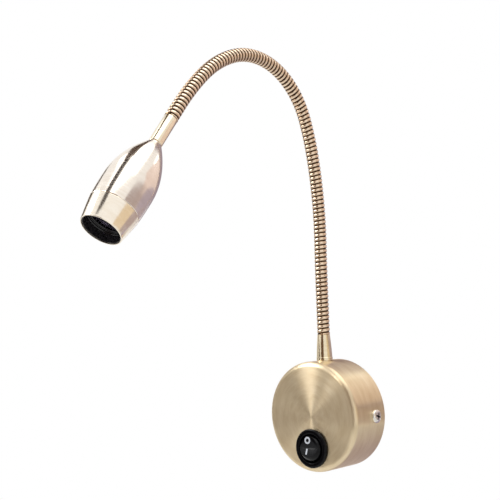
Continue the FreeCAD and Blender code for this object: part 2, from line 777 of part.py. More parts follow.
# sleeve
sr = sleeve_diameter / 2
sleeve_bore_r = wire_bore / 2
stub_r = sleeve_stub_diameter / 2
socket_end = -sleeve_length + spigot_length + clearance
sleeve = turned(
    [
        (sleeve_bore_r, sleeve_stub_length),
        (stub_r, sleeve_stub_length),
        (stub_r, -touch),
        (sr, -touch),
        (sr, -sleeve_length + 0.4),
        (sr - 0.4, -sleeve_length),
        (socket_r, -sleeve_length),
        (socket_r, socket_end),
        (sleeve_bore_r, socket_end),
    ]
)
keep("upper_sleeve", in_head(sleeve))

# shell
shell_r = shell_bore / 2
swell = [(head_widest_radius * r, head_seam * z) for z, r in head_swell]
inner_swell = [(r - head_wall, z + 0.3) for r, z in swell[1:]]
stub_hole = stub_r + thread_clearance
shell = turned(
    [
        (stub_hole, 0),
        (head_tail_radius, 0),
        tuple(swell + [(head_widest_radius, head_widest), (head_seam_radius, head_seam)]),
        (shell_r, head_seam),
        (shell_r, slug_back - 1.0),
        tuple(inner_swell[::-1] + [(tail_cone_radius, tail_block)]),
        (stub_hole, tail_block),
    ]
)
keep("head_shell", in_head(shell))

# front ring, screwed into the shell
rb = ring_bore / 2
seat_r = lens_seat_bore / 2
spigot_r = shell_r - clearance
lip_middle = (mouth_radius - round_share * mouth_lip, head_length - round_share * mouth_lip)
ring_front = turned(
    [
        (seat_r, head_seam - ring_spigot_length),
        (spigot_r, head_seam - ring_spigot_length),
        (spigot_r, head_seam + touch),
        (head_seam_radius, head_seam + touch),
        (mouth_radius, head_length - mouth_lip),
        (lip_middle, (mouth_radius - mouth_lip, head_length)),
        (rb, head_length),
        (rb, lens_seat),
        (seat_r, lens_seat),
    ]
)
keep("front_ring", in_head(ring_front))

# lens: a moulded collimator with a flat flange, a low dome in front and a pocket for the light source
gl = rb - touch
gi = gl - glare_wall
lip_r = gi - glare_lip_width
flange = lens_flange_diameter / 2
lens_front = lens_seat + touch + lens_flange_thickness
back_r = lens_back_diameter / 2
pocket_r = lens_pocket_diameter / 2
pocket_end = lens_back + lens_pocket_depth
dome_edge = lip_r - clearance
dome_middle = (dome_edge / 2, lens_front + 0.75 * lens_dome)
flank = (0.62 * seat_r + 0.38 * back_r, (lens_back + lens_seat) / 2)
lens = turned(
    [
        (pocket_r, lens_back),
        (back_r, lens_back),
        (flank, (seat_r - 3 * clearance, lens_seat + touch)),
        (flange, lens_seat + touch),
        (flange, lens_front),
        (dome_edge, lens_front),
        (dome_middle, (lens_tip, lens_front + lens_dome)),
        (0, lens_front + lens_dome),
        (0, pocket_end + lens_pocket_dome),
        (lens_tip, pocket_end + lens_pocket_dome),
        ((pocket_r / 2, pocket_end + 0.75 * lens_pocket_dome), (pocket_r, pocket_end)),
    ]
)
keep("lens", in_head(lens))

# black glare ring that keeps the lens in
gstart = lens_front + touch
gend = head_length - mouth_setback
ridge_at = gstart + glare_lip + ridge_gap
glare = turned(
    [
        (lip_r, gstart + glare_chamfer),
        (lip_r + glare_chamfer, gstart),
        (gl, gstart),
        (gl, gend),
        (gi, gend),
        (gi, ridge_at + ridge_height),
        (gi - ridge_height, ridge_at),
        (gi, ridge_at - ridge_height),
        (gi, gstart + glare_lip),
        (lip_r, gstart + glare_lip),
    ]
)
keep("glare_ring", in_head(glare))


# heat sink slug, thermal pad, board, light source, screws
def cut_around(disc, count, turn, circle, radius, start, height):
    """Round notches or holes spaced evenly on a circle."""
    for i in range(count):
        angle = math.radians(360 / count * i + turn)
        place = Vector(math.cos(angle), math.sin(angle), 0) * circle + z_axis * start
        disc = disc.cut(Part.makeCylinder(radius, height, place))
    return disc


lead_hole = lead_diameter + 0.6
slug_end = slug_back + slug_length
slug = Part.makeCylinder(shell_r - clearance, slug_length, Vector(0, 0, slug_back))
slug = slug.cut(Part.makeCylinder(lead_hole / 2, slug_length + 2, Vector(0, lead_offset, slug_back - 1)))
slug = cut_around(slug, slug_vents, 30, shell_r + 0.4, slug_vent_radius, slug_back - 1, slug_length + 2)
pad_start = slug_end + touch
pad_r = board_diameter / 2 - thermal_pad_margin
thermal_pad = Part.makeCylinder(pad_r, thermal_pad_thickness, Vector(0, 0, pad_start))
board_start = pad_start + thermal_pad_thickness + touch
board = Part.makeCylinder(board_diameter / 2, board_thickness, Vector(0, 0, board_start))
board_r = board_diameter / 2
board = cut_around(board, board_notches, 0, board_r, board_notch_radius, board_start - 1, board_thickness + 2)
fixings = []
screw_head = (board_screw_head, board_screw_head_height)
for side in (-1, 1):
    angle = math.radians(-90 + 60 * side)
    hole = Vector(math.cos(angle), math.sin(angle), 0) * board_screw_circle
    thread = board_screw_diameter / 2 + thread_clearance
    drill_start = hole + z_axis * (board_top - board_screw_length)
    drill = Part.makeCylinder(thread, board_screw_length + 1, drill_start)
    slug = slug.cut(drill)
    thermal_pad = thermal_pad.cut(drill)
    board = board.cut(drill)
    seat = hole + z_axis * (board_top + touch)
    fixings.append(in_head(screw(board_screw_diameter, board_screw_length, *screw_head, seat, z_axis * -1)))
lead_cut = Part.makeCylinder(lead_hole / 2, 2, Vector(0, lead_offset, slug_end - 1))
keep("heat_slug", in_head(slug))
keep("thermal_pad", in_head(thermal_pad.cut(lead_cut)))
keep("light_board", in_head(board))
keep("board_screws", *fixings)
e = emitter_size / 2
emitter_base = board_top + touch
emitter = box(-e, e, -e, e, emitter_base, emitter_base + emitter_height)
dome = Part.makeSphere(dome_radius, Vector(0, 0, emitter_base + emitter_height - 0.2))
dome = dome.common(box(-e, e, -e, e, emitter_base + 0.5 * emitter_height, lens_back + lens_pocket_depth))
keep("light_emitter", in_head(emitter.fuse(dome)))

# ---------------------------------------------------------------- lamp lead, a length in each gooseneck piece
lead_r = lead_diameter / 2
for i, arc in enumerate(arcs):
    length = arc[3]
    first = hose_joint_gap / 2
    last = length - hose_joint_gap / 2
    if i == 0:
        down = driver_z1 - neck_top + touch
        lead = arc_rod(lead_r, arc, down, last)
    elif i < count - 1:
        lead = arc_rod(lead_r, arc, first, last)
    else:
        begin = head_place.inverse().multVec(place_on_arc(*arc, first)[0])
        bends = [Vector(0, 0, tail_block + 1), Vector(0, lead_offset, slug_back - 5)]
        route = [begin] + bends + [Vector(0, lead_offset, board_start - touch)]
        lead = in_head(tube([tuple(p) for p in route], lead_diameter))
    keep("lamp_lead_%02d" % (i + 1), lead)

# ---------------------------------------------------------------- wires in the base
# Each runs from one piece to the next along its real route, clear of the ears and of the cover's wall.
pole_end = block_length / 2 + touch
driver_end = driver_width / 2 + touch
driver_wire_y = driver_y1 - 6.0
driver_wire_z = driver_bottom + 4.0
tab_y = front + eyelet
tab_end = tab_side + touch
wire_out = inner_radius - 9.0  # as far out as the wires run
neutral = [
    (pole_end - 3.0, pole_y, poles[0]),
    (pole_end + 5.5, pole_y, poles[0]),
    (wire_out - 1.3, pole_y - 0.4, poles[0] - 5.4),
    (wire_out + 0.2, driver_wire_y + 1.0, driver_wire_z + 5.0),
    (wire_out - 0.3, driver_wire_y, driver_wire_z + 0.1),
    (driver_end, driver_wire_y, driver_wire_z),
]
keep("neutral_wire", tube(neutral, wire_diameter))
live = [
    (pole_end - 3.0, pole_y, poles[1]),
    (pole_end + 4.0, pole_y, poles[1] - 0.5),
    (wire_out - 4.8, -7.0, 5.0),
    (wire_out - 4.8, -8.0, -5.0),
    (11.0, tab_y, contact_offset - switch_drop),
    (tab_end, tab_y, contact_offset - switch_drop),
]
keep("live_wire", tube(live, wire_diameter))
switched = [
    (-tab_end, tab_y, -switch_drop),
    (-11.0, tab_y, 0.4 - switch_drop),
    (-18.5, -11.0, -11.5),
    (0.3 - wire_out, -12.5, -3.5),
    (-wire_out, driver_wire_y, driver_wire_z - 0.1),
    (-driver_end, driver_wire_y, driver_wire_z),
]
keep("switched_wire", tube(switched, wire_diameter))
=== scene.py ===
import math

import bpy
from mathutils import Matrix, Vector


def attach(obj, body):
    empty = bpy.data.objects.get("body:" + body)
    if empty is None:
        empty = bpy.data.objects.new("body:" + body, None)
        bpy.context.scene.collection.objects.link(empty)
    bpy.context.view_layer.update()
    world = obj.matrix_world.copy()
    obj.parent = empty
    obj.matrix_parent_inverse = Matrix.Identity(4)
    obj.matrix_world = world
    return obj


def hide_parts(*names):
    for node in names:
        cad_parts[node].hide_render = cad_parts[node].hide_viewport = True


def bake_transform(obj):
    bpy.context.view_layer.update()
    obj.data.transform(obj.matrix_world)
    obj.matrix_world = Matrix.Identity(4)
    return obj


# Bedside wall reading lamp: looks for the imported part. Sizes are in millimetres, and mm turns them to metres.
mm = 0.001
hair = 0.02  # clearance between pieces that seat on each other
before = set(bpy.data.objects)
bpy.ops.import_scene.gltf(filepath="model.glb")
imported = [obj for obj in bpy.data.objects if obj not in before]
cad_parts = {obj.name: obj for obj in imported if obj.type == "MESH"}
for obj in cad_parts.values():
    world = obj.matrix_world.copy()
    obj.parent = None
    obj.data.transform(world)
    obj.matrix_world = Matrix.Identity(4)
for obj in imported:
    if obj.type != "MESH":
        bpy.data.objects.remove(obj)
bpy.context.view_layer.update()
print("frame loaded:", len(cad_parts), "nodes")


# small tools for modelling

def pickNothing():
    bpy.ops.object.select_all(action="DESELECT")


def pick(*pieces):
    pickNothing()
    for piece in pieces:
        piece.select_set(True)
    bpy.context.view_layer.objects.active = pieces[0]


def useModifier(piece, kind, **settings):
    modifier = piece.modifiers.new(kind.title(), kind)
    for key, value in settings.items():
        setattr(modifier, key, value)
    pick(piece)
    bpy.ops.object.modifier_apply(modifier=modifier.name)
    return piece


def smooth(piece, degrees):
    pick(piece)
    bpy.ops.object.shade_smooth_by_angle(angle=math.radians(degrees))
    return piece


def settle(piece, turn=None):
    # the place goes into the mesh, so the object ends at the origin, unturned
    if turn is not None:
        piece.matrix_world = turn @ piece.matrix_world
    pick(piece)
    bpy.ops.object.transform_apply(location=True, rotation=True, scale=True)
    return piece


def startPoint(name, place):
    # a small plane merged to the one vertex that a profile is drawn from
    pickNothing()
    bpy.ops.mesh.primitive_plane_add(size=mm, location=(0, 0, 0))
    piece = bpy.context.object
    piece.name = name
    bpy.ops.object.mode_set(mode="EDIT")
    bpy.ops.mesh.select_all(action="SELECT")
    bpy.ops.mesh.merge(type="CENTER")
    bpy.ops.transform.translate(value=place)
    return piece


def drawOutline(points):
    for before, after in zip(points, points[1:]):
        step = [b - a for a, b in zip(before, after)]
        bpy.ops.mesh.extrude_region_move(TRANSFORM_OT_translate={"value": step})


def turnedPiece(name, profile, steps):
    # radius and height in millimetres; the profile is spun about the vertical axis
    points = [(r * mm, 0, h * mm) for r, h in profile]
    piece = startPoint(name, points[0])
    drawOutline(points)
    bpy.ops.mesh.select_all(action="SELECT")
    bpy.ops.mesh.spin(steps=steps, angle=2 * math.pi, center=(0, 0, 0), axis=(0, 0, 1))
    bpy.ops.mesh.select_all(action="SELECT")
    bpy.ops.mesh.remove_doubles(threshold=0.002 * mm)
    bpy.ops.mesh.dissolve_degenerate(threshold=0.001 * mm)
    bpy.ops.mesh.select_all(action="SELECT")
    bpy.ops.mesh.normals_make_consistent(inside=False)
    bpy.ops.object.mode_set(mode="OBJECT")
    return piece


def prism(name, outline, reach):
    # an outline in the upright plane x = -reach, extruded to x = reach
    points = [(-reach * mm, y * mm, z * mm) for y, z in outline]
    piece = startPoint(name, points[0])
    drawOutline(points)
    bpy.ops.mesh.select_all(action="SELECT")
    bpy.ops.mesh.edge_face_add()
    bpy.ops.mesh.extrude_region_move(TRANSFORM_OT_translate={"value": (2 * reach * mm, 0, 0)})
    bpy.ops.mesh.select_all(action="SELECT")
    bpy.ops.mesh.normals_make_consistent(inside=False)
    bpy.ops.object.mode_set(mode="OBJECT")
    return piece


def drill(name, diameter, length, place, direction):
    pickNothing()
    middle = [c * mm for c in place]
    turn = Vector(direction).to_track_quat("Z", "Y").to_euler()
    bpy.ops.mesh.primitive_cylinder_add(
        vertices=48, radius=diameter / 2 * mm, depth=length * mm, location=middle, rotation=turn)
    tool = bpy.context.object
    tool.name = name
    return settle(tool)


def block(name, size, place):
    pickNothing()
    bpy.ops.mesh.primitive_cube_add(size=1, location=[c * mm for c in place])
    tool = bpy.context.object
    tool.name = name
    tool.scale = [s * mm for s in size]
    return settle(tool)


def carve(piece, tool, operation="DIFFERENCE"):
    useModifier(piece, "BOOLEAN", operation=operation, object=tool, solver="EXACT")
    bpy.data.objects.remove(tool, do_unlink=True)
    return piece


def arcPoints(centre, radius, start, end, count=6):
    # points of a round in a profile, angles in degrees
    found = []
    for i in range(count + 1):
        angle = math.radians(start + (end - start) * i / count)
        found.append((centre[0] + radius * math.cos(angle), centre[1] + radius * math.sin(angle)))
    return found


def bow(start, end, bulge, count=8):
    # a shallow curve between two profile points, standing out from the chord by the bulge
    found = []
    dx, dz = end[0] - start[0], end[1] - start[1]
    span = math.hypot(dx, dz)
    for i in range(count + 1):
        t = i / count
        out = 4 * bulge * t * (1 - t)
        found.append((start[0] + dx * t - out * dz / span, start[1] + dz * t + out * dx / span))
    return found


# materials

def colour(code):
    parts = [int(code[i:i + 2], 16) / 255 for i in (1, 3, 5)]
    return tuple(p / 12.92 if p <= 0.04045 else ((p + 0.055) / 1.055) ** 2.4 for p in parts) + (1.0,)


def addNode(tree, kind, settings=None, inputs=None):
    node = tree.nodes.new("ShaderNode" + kind)
    for key, value in (settings or {}).items():
        setattr(node, key, value)
    for socket, value in (inputs or {}).items():
        if isinstance(value, bpy.types.NodeSocket):
            tree.links.new(value, node.inputs[socket])
        else:
            node.inputs[socket].default_value = value
    return node


def newMaterial(name):
    material = bpy.data.materials.new(name)
    material.use_nodes = True
    tree = material.node_tree
    return material, tree, tree.nodes["Principled BSDF"]


noiseRange = {"From Min": 0.3, "From Max": 0.7}  # nearly all values of a noise lie between these


def twoTone(tree, noise, first, second):
    # the noise runs between two tones
    share = addNode(tree, "MapRange", inputs=dict(noiseRange, Value=noise)).outputs["Result"]
    tones = {0: share, 6: colour(first), 7: colour(second)}
    return addNode(tree, "Mix", {"data_type": "RGBA"}, tones).outputs[2]


def paint(piece, material):
    piece.data.materials.clear()
    piece.data.materials.append(material)


# where the neck and the head are: eleven arcs, each a count of ribs long and turned by some degrees
neck = {
    "ribs": (11, 11, 11, 10, 9, 9, 10, 11, 11, 11, 4),
    "turns": (0.0, -1.6, 6.8, 5.8, 9.4, 26.6, 31.3, 32.0, 21.3, 10.3, 0.0),
    "pitch": 2.53,
    "startDepth": 14.0,
    "startHeight": 48.4,
    "sleeveLength": 18.4,  # from the last rib to the head's tail
}


def alongArc(start, tilt, turn, length, s):
    if abs(turn) < 1e-6:
        return start + Vector((0, -math.sin(tilt), math.cos(tilt))) * s, tilt
    radius = length / math.radians(turn)
    now = tilt + s / radius
    centre = start + Vector((0, -math.cos(tilt), -math.sin(tilt))) * radius
    return centre + Vector((0, math.cos(now), math.sin(now))) * radius, now


neckArcs = []
here, headTilt = Vector((0, -neck["startDepth"], neck["startHeight"])), 0.0
for ribs, turn in zip(neck["ribs"], neck["turns"]):
    length = ribs * neck["pitch"]
    neckArcs.append((here, headTilt, turn, length))
    here, headTilt = alongArc(here, headTilt, turn, length, length)
headStart = here + Vector((0, -math.sin(headTilt), math.cos(headTilt))) * neck["sleeveLength"]
headPlace = Matrix.Translation(headStart * mm) @ Matrix.Rotation(headTilt, 4, "X")
ferrulePlace = Matrix.Translation((0, -neck["startDepth"] * mm, 0))
basePlace = Matrix.Rotation(-math.pi / 2, 4, "X")  # a turned piece's own up becomes into the wall


# antique brass plate, brushed in circles while the piece spun, under clear lacquer. The lines draw
# each reflection out across them, which gives the fan on the cover's face.
def brushedBrass(name, look, place=None):
    material, tree, shader = newMaterial(name)
    coords = addNode(tree, "TexCoord").outputs["Object"]
    axes = ("X", "Z", "Y")
    if place is not None:
        back = place.inverted()
        turned = {"Vector": coords, "Location": back.translation, "Rotation": back.to_euler()}
        coords = addNode(tree, "Mapping", inputs=turned).outputs["Vector"]
        axes = ("X", "Y", "Z")
    split = addNode(tree, "SeparateXYZ", inputs={"Vector": coords})
    across, beside, along = [split.outputs[a] for a in axes]
    flat = addNode(tree, "CombineXYZ", inputs={"X": across, "Y": beside}).outputs["Vector"]
    radius = addNode(tree, "VectorMath", {"operation": "LENGTH"}, {0: flat}).outputs["Value"]
    heading = addNode(tree, "VectorMath", {"operation": "NORMALIZE"}, {0: flat}).outputs["Vector"]
    reach = addNode(tree, "Math", {"operation": "ADD"}, {0: radius, 1: along}).outputs["Value"]
    slowed = {0: heading, "Scale": look["streak"]}
    slow = addNode(tree, "VectorMath", {"operation": "SCALE"}, slowed).outputs["Vector"]
    slowSplit = addNode(tree, "SeparateXYZ", inputs={"Vector": slow})

    def linesOf(width, detail):
        # noise drawn out along the circles, as wide as the given millimetres across them
        scaled = {0: reach, 1: 1 / (width * mm)}
        stretched = addNode(tree, "Math", {"operation": "MULTIPLY"}, scaled).outputs["Value"]
        parts = {"X": slowSplit.outputs["X"], "Y": slowSplit.outputs["Y"], "Z": stretched}
        grain = addNode(tree, "CombineXYZ", inputs=parts).outputs["Vector"]
        drawn = {"Vector": grain, "Scale": 1.0, "Detail": detail, "Roughness": 0.6}
        return addNode(tree, "TexNoise", inputs=drawn).outputs["Fac"]

    lines = linesOf(0.5, 3.0)  # real grit lines are about 0.06 mm apart; drawn this coarse so that they show
    bands = linesOf(3.5, 2.0)  # slow rings where the buff pressed harder
    tone = twoTone(tree, bands, look["dark"], look["light"])
    streaks = twoTone(tree, lines, look["lineDark"], "#ffffff")
    shown = {0: 1.0, 6: tone, 7: streaks}
    mixed = addNode(tree, "Mix", {"data_type": "RGBA", "blend_type": "MULTIPLY"}, shown).outputs[2]
    tree.links.new(mixed, shader.inputs["Base Color"])
    low, high = look["rough"] - look["roughSpread"], look["rough"] + look["roughSpread"]
    ends = {"Value": lines, "To Min": low, "To Max": high}
    rough = addNode(tree, "MapRange", inputs=dict(noiseRange, **ends)).outputs["Result"]
    tree.links.new(rough, shader.inputs["Roughness"])
    bump = addNode(tree, "Bump", inputs={"Height": lines, "Strength": look["bump"], "Distance": 0.02 * mm})
    tree.links.new(bump.outputs["Normal"], shader.inputs["Normal"])
    shader.inputs["Metallic"].default_value = 1.0
    if look["anisotropic"] > 0:
        shader.inputs["Anisotropic"].default_value = look["anisotropic"]
        shader.inputs["Anisotropic Rotation"].default_value = 0.25
        tangent = addNode(tree, "Tangent", {"direction_type": "RADIAL", "axis": "Y"})
        tree.links.new(tangent.outputs["Tangent"], shader.inputs["Tangent"])
    return material


coverLook = {
    "dark": "#dfcba8", "light": "#ebdabb", "lineDark": "#f8f4ee", "rough": 0.32, "roughSpread": 0.03,
    "bump": 0.02, "anisotropic": 0.9, "streak": 2.0,
}
headLook = {
    "dark": "#f1e8dd", "light": "#f8f0e6", "lineDark": "#f8f4ef", "rough": 0.17, "roughSpread": 0.02,
    "bump": 0.04, "anisotropic": 0.0, "streak": 1.0,
}
turnedLook = {
    "dark": "#e6d6b6", "light": "#efe2c6", "lineDark": "#faf7f2", "rough": 0.18, "roughSpread": 0.01,
    "bump": 0.0, "anisotropic": 0.0, "streak": 1.0,
}
ringLook = dict(headLook, dark="#f6ecdc", light="#fbf3e6")
sleeveLook = dict(turnedLook, dark="#eadcc2", light="#f2e7d0")
coverBrass = brushedBrass("spunSteelAntiqueBrassPlate", coverLook)
headBrass = brushedBrass("headAntiqueBrassPlate", headLook, headPlace)
ringBrass = brushedBrass("ringAntiqueBrassPlate", ringLook, headPlace)
ferruleBrass = brushedBrass("turnedLacqueredBrass", turnedLook, ferrulePlace)
sleeveBrass = brushedBrass("turnedLacqueredBrassSleeve", sleeveLook, headPlace)


# brass-plated spring winding: bright crests, and painted shade in the grooves, coloured near black,
# told apart by the piece's own attribute
def windingBrass():
    material, tree, shader = newMaterial("brassPlatedSpringWinding")
    depth = addNode(tree, "Attribute", {"attribute_name": "ribHeight"}).outputs["Fac"]
    coords = addNode(tree, "TexCoord").outputs["Object"]
    patch = {"Vector": coords, "Scale": 1 / (3.846 * mm), "Detail": 3.0}  # worn patches about 4 mm across
    wear = addNode(tree, "TexNoise", inputs=patch).outputs["Fac"]
    wornAndShaded = {0: wear, 1: 0.2, 2: depth}
    shifted = addNode(tree, "Math", {"operation": "MULTIPLY_ADD"}, wornAndShaded).outputs["Value"]
    share = addNode(tree, "MapRange", inputs={"Value": shifted, "From Max": 1.2}).outputs["Result"]
    # painted shade: the ramp runs from near black at the grooves to pale brass at the crests, shifted a little
    # by the wear noise
    tone = addNode(tree, "ValToRGB", inputs={"Fac": share})
    stops = tone.color_ramp.elements
    stops[0].position, stops[0].color = 0.3, colour("#20120c")
    stops[1].position, stops[1].color = 0.88, colour("#ecd6bc")
    middle = stops.new(0.66)
    middle.color = colour("#9a7a5c")
    tree.links.new(tone.outputs["Color"], shader.inputs["Base Color"])
    dulled = {"Value": shifted, "From Min": 0.2, "From Max": 0.9, "To Min": 0.5, "To Max": 0.2}
    rough = addNode(tree, "MapRange", inputs=dulled).outputs["Result"]
    tree.links.new(rough, shader.inputs["Roughness"])
    shader.inputs["Metallic"].default_value = 1.0
    return material


windingMetal = windingBrass()


# a general finish for moulded, plated and pressed pieces: two tones and a little roughness from one
# noise, whose grain is given in millimetres, and a bump as high as the given millimetres
def plainFinish(name, first, second, metallic, rough, grainSize, bumpHeight=0.0, roughSpread=0.05,
                detail=3.0, bumpStrength=0.4, sockets=None):
    material, tree, shader = newMaterial(name)
    coords = addNode(tree, "TexCoord").outputs["Object"]
    patch = {"Vector": coords, "Scale": 1 / (grainSize * mm), "Detail": detail}
    grain = addNode(tree, "TexNoise", inputs=patch).outputs["Fac"]
    tree.links.new(twoTone(tree, grain, first, second), shader.inputs["Base Color"])
    ends = {"Value": grain, "To Min": rough - roughSpread, "To Max": rough + roughSpread}
    mapped = addNode(tree, "MapRange", inputs=dict(noiseRange, **ends)).outputs["Result"]
    tree.links.new(mapped, shader.inputs["Roughness"])
    if bumpHeight:
        raised = {"Height": grain, "Strength": bumpStrength, "Distance": bumpHeight * mm}
        bump = addNode(tree, "Bump", inputs=raised).outputs["Normal"]
        tree.links.new(bump, shader.inputs["Normal"])
    shader.inputs["Metallic"].default_value = metallic
    for socket, value in (sockets or {}).items():
        shader.inputs[socket].default_value = value
    return material


# metals; each row is name, two tones, metallic, roughness, grain and bump
nickel = plainFinish("nickelPlatedSteel", "#d8d4cc", "#f2efe8", 1.0, 0.18, 0.8)  # bright, slightly warm
zinc = plainFinish("brightZincPlatedSteel", "#a9aeb4", "#c9ccce", 1.0, 0.34, 1.6, 0.01)  # cool, half dull
stripBrass = plainFinish("rolledBrassStrip", "#b89a5e", "#cfb578", 1.0, 0.3, 0.9)  # yellow, softly shining
slugMetal = plainFinish("turnedAluminium", "#c3c6c8", "#d6d8da", 1.0, 0.32, 0.7, 0.01)  # pale, satin
recessPaintedShade = plainFinish("paintedShadeScrewRecess", "#17161a", "#242329", 1.0, 0.5, 0.6)  # painted shade: dark as a recess shut from the light

# plastics, rubber and print
pvc = {"bumpHeight": 0.01, "roughSpread": 0.05}  # extruded: even and softly shining
hard = {"IOR": 1.53}
nylon = plainFinish("naturalNylonMoulding", "#dcd9cf", "#e8e5dc", 0.0, 0.42, 1.1, 0.01, sockets=hard)  # milky
caseWhite = plainFinish("whiteFlameproofAbs", "#d9d8d2", "#e6e5e0", 0.0, 0.5, 0.7, 0.02, sockets=hard)  # matt
foam = plainFinish("closedCellFoamTape", "#3a3a3c", "#4a4a4d", 0.0, 0.9, 0.5, 0.05)  # dead matt, pitted
rubber = plainFinish("mouldedRubber", "#1a1a1b", "#232325", 0.0, 0.6, 0.9, 0.02)  # black with a dull sheen
silicone = plainFinish("thermalSiliconePad", "#8d949b", "#9ba2a8", 0.0, 0.7, 0.6, 0.02)  # waxy grey
boardWhite = plainFinish("whiteSolderMask", "#dedcd4", "#eae8e1", 0.0, 0.35, 0.9, 0.005)  # smooth lacquer
phosphor = plainFinish("phosphorSilicone", "#d8b23a", "#e8c654", 0.0, 0.3, 0.4, 0.01)  # yellow gel
pvcWhite = plainFinish("whitePvcSheath", "#d6d4cd", "#e4e2dc", 0.0, 0.45, 0.8, **pvc)
pvcBrown = plainFinish("brownPvcInsulation", "#4a2614", "#5e3420", 0.0, 0.4, 0.8, **pvc)
pvcBlue = plainFinish("bluePvcInsulation", "#1c4f9a", "#2a62b0", 0.0, 0.4, 0.8, **pvc)
markPrint = plainFinish("paleGreyPadPrint", "#b4b8c0", "#c6cad2", 0.0, 0.5, 0.3)  # thin, flat ink

# glossy mouldings: deep black with a faint orange peel, and clear acrylic with a faint violet cast
peel = {"grainSize": 1.111, "bumpHeight": 0.05, "roughSpread": 0.03, "detail": 2.0, "bumpStrength": 0.06}
haze = {"grainSize": 3.333, "roughSpread": 0.015, "detail": 2.0}
switchShine = {"IOR": 1.46, "Specular IOR Level": 0.2}
glareShine = {"IOR": 1.46, "Specular IOR Level": 0.6}
clear = {"Transmission Weight": 0.85, "IOR": 1.49}
switchBlack = plainFinish("glossBlackAbs", "#030305", "#07070a", 0.0, 0.15, sockets=switchShine, **peel)
glareBlack = plainFinish(
    "glossBlackPolycarbonate", "#322e31", "#07070a", 0.0, 0.28, sockets=glareShine, **peel)
lensClear = plainFinish("tintedClearAcrylic", "#6e6478", "#80768c", 0.0, 0.045, sockets=clear, **haze)

cadFinish = {
    "wall_bracket": zinc, "earth_washer": zinc, "earth_screw": zinc, "supply_grommet": rubber,
    "terminal_block": nylon, "terminal_screws": zinc, "terminal_fixing_screw": zinc,
    "driver_case": caseWhite, "driver_pad": foam, "switch_plunger": zinc, "switch_spring": zinc,
    "switch_lever": stripBrass, "switch_common_terminal": stripBrass, "switch_contact_terminal": stripBrass,
    "lock_washer": zinc, "lock_nut": stripBrass, "heat_slug": slugMetal, "thermal_pad": silicone,
    "light_board": boardWhite, "board_screws": nickel, "light_emitter": phosphor,
}
for node, finish in cadFinish.items():
    paint(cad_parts[node], finish)
for i in range(2, 12):
    paint(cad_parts["lamp_lead_%02d" % i], pvcWhite)
print("materials made")

# the wires in the base and the lead's first length, drawn again as smooth tubes along the CAD's routes
cords = {
    "neutral_wire": {
        "name": "neutralWire", "across": 1.6, "finish": pvcBlue, "slot": "wire_blue",
        "route": [(5.02, -4.77, 19.9), (13.52, -4.77, 19.9), (21.0, -5.17, 14.5), (22.5, -16.96, 8.5),
                  (22.0, -17.96, 3.6), (17.02, -17.96, 3.5)],
    },
    "live_wire": {
        "name": "liveWire", "across": 1.6, "finish": pvcBrown, "slot": "wire_brown",
        "route": [(5.02, -4.77, 12.1), (12.02, -4.77, 11.6), (17.5, -7.0, 5.0), (17.5, -8.0, -5.0),
                  (11.0, -11.9, -13.4), (2.42, -11.9, -13.4)],
    },
    "switched_wire": {
        "name": "switchedWire", "across": 1.6, "finish": pvcBrown, "slot": "wire_brown",
        "route": [(-2.42, -11.9, -18.4), (-11.0, -11.9, -18.0), (-18.5, -11.0, -11.5), (-22.0, -12.5, -3.5),
                  (-22.3, -17.96, 3.4), (-17.02, -17.96, 3.5)],
    },
    "lamp_lead_01": {
        "name": "leadStart", "across": 3.0, "finish": pvcWhite, "slot": "lead_white",
        "route": [(0, -14.0, 18.52), (0, -14.0, 40.0), (0, -14.0, 60.0), (0, -14.0, 75.75)],
    },
}
for node, cord in cords.items():
    data = bpy.data.curves.new(cord["name"], "CURVE")
    data.dimensions = "3D"
    data.resolution_u = 16
    data.bevel_depth = cord["across"] / 2 * mm
    data.bevel_resolution = 6
    data.use_fill_caps = True
    line = data.splines.new("NURBS")
    line.points.add(len(cord["route"]) - 1)
    for point, place in zip(line.points, cord["route"]):
        point.co = (place[0] * mm, place[1] * mm, place[2] * mm, 1)
    line.order_u = 3
    line.use_endpoint_u = True
    tube = bpy.data.objects.new(cord["name"], data)
    bpy.context.scene.collection.objects.link(tube)
    pick(tube)
    bpy.ops.object.convert(target="MESH")
    tube = bpy.context.object
    bpy.ops.object.mode_set(mode="EDIT")
    bpy.ops.mesh.select_all(action="SELECT")
    bpy.ops.mesh.remove_doubles(threshold=0.001 * mm)
    bpy.ops.mesh.normals_make_consistent(inside=False)
    bpy.ops.object.mode_set(mode="OBJECT")
    smooth(tube, 40)
    paint(tube, cord["finish"])
    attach(tube, "base")
    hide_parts(node)
print("wires made")

# base cover: a spun cup whose front edge is a quarter round, a little wider than it is deep
cover = {
    "radius": 32.5, "depth": 29.2, "wall": 1.2, "edgeDepth": 2.9, "edgeInset": 3.2, "edgeSteps": 12,
    "innerBulge": 0.5, "screwDepth": 9.7, "screwHole": 4.4, "neckHole": 8.2, "switchHole": 20.2,
    "switchDrop": 18.4, "drillSide": 8, "drillFace": 6,
}
outer, front = cover["radius"], -cover["depth"]
faceEdge = outer - cover["edgeInset"]
sideEdge = front + cover["edgeDepth"]
inner, innerFront = outer - cover["wall"], front + cover["wall"]
edge = []
for i in range(cover["edgeSteps"] + 1):
    angle = math.pi / 2 * i / cover["edgeSteps"]
    across = faceEdge + cover["edgeInset"] * math.cos(angle)
    edge.append((across, sideEdge - cover["edgeDepth"] * math.sin(angle)))
innerEdge = bow((faceEdge, innerFront), (inner, sideEdge), cover["innerBulge"])
profile = [(outer, 0)] + edge + [(0, front), (0, innerFront)] + innerEdge + [(inner, 0), (outer, 0)]
baseCover = turnedPiece("baseCover", profile, steps=160)
settle(baseCover, basePlace)
for side in (-1, 1):
    screwAt = (side * outer, -cover["screwDepth"], 0)
    carve(baseCover, drill("hole", cover["screwHole"], cover["drillSide"], screwAt, (1, 0, 0)))
neckAt, switchAt = (0, -neck["startDepth"], outer), (0, front, -cover["switchDrop"])
carve(baseCover, drill("hole", cover["neckHole"], cover["drillSide"], neckAt, (0, 0, 1)))
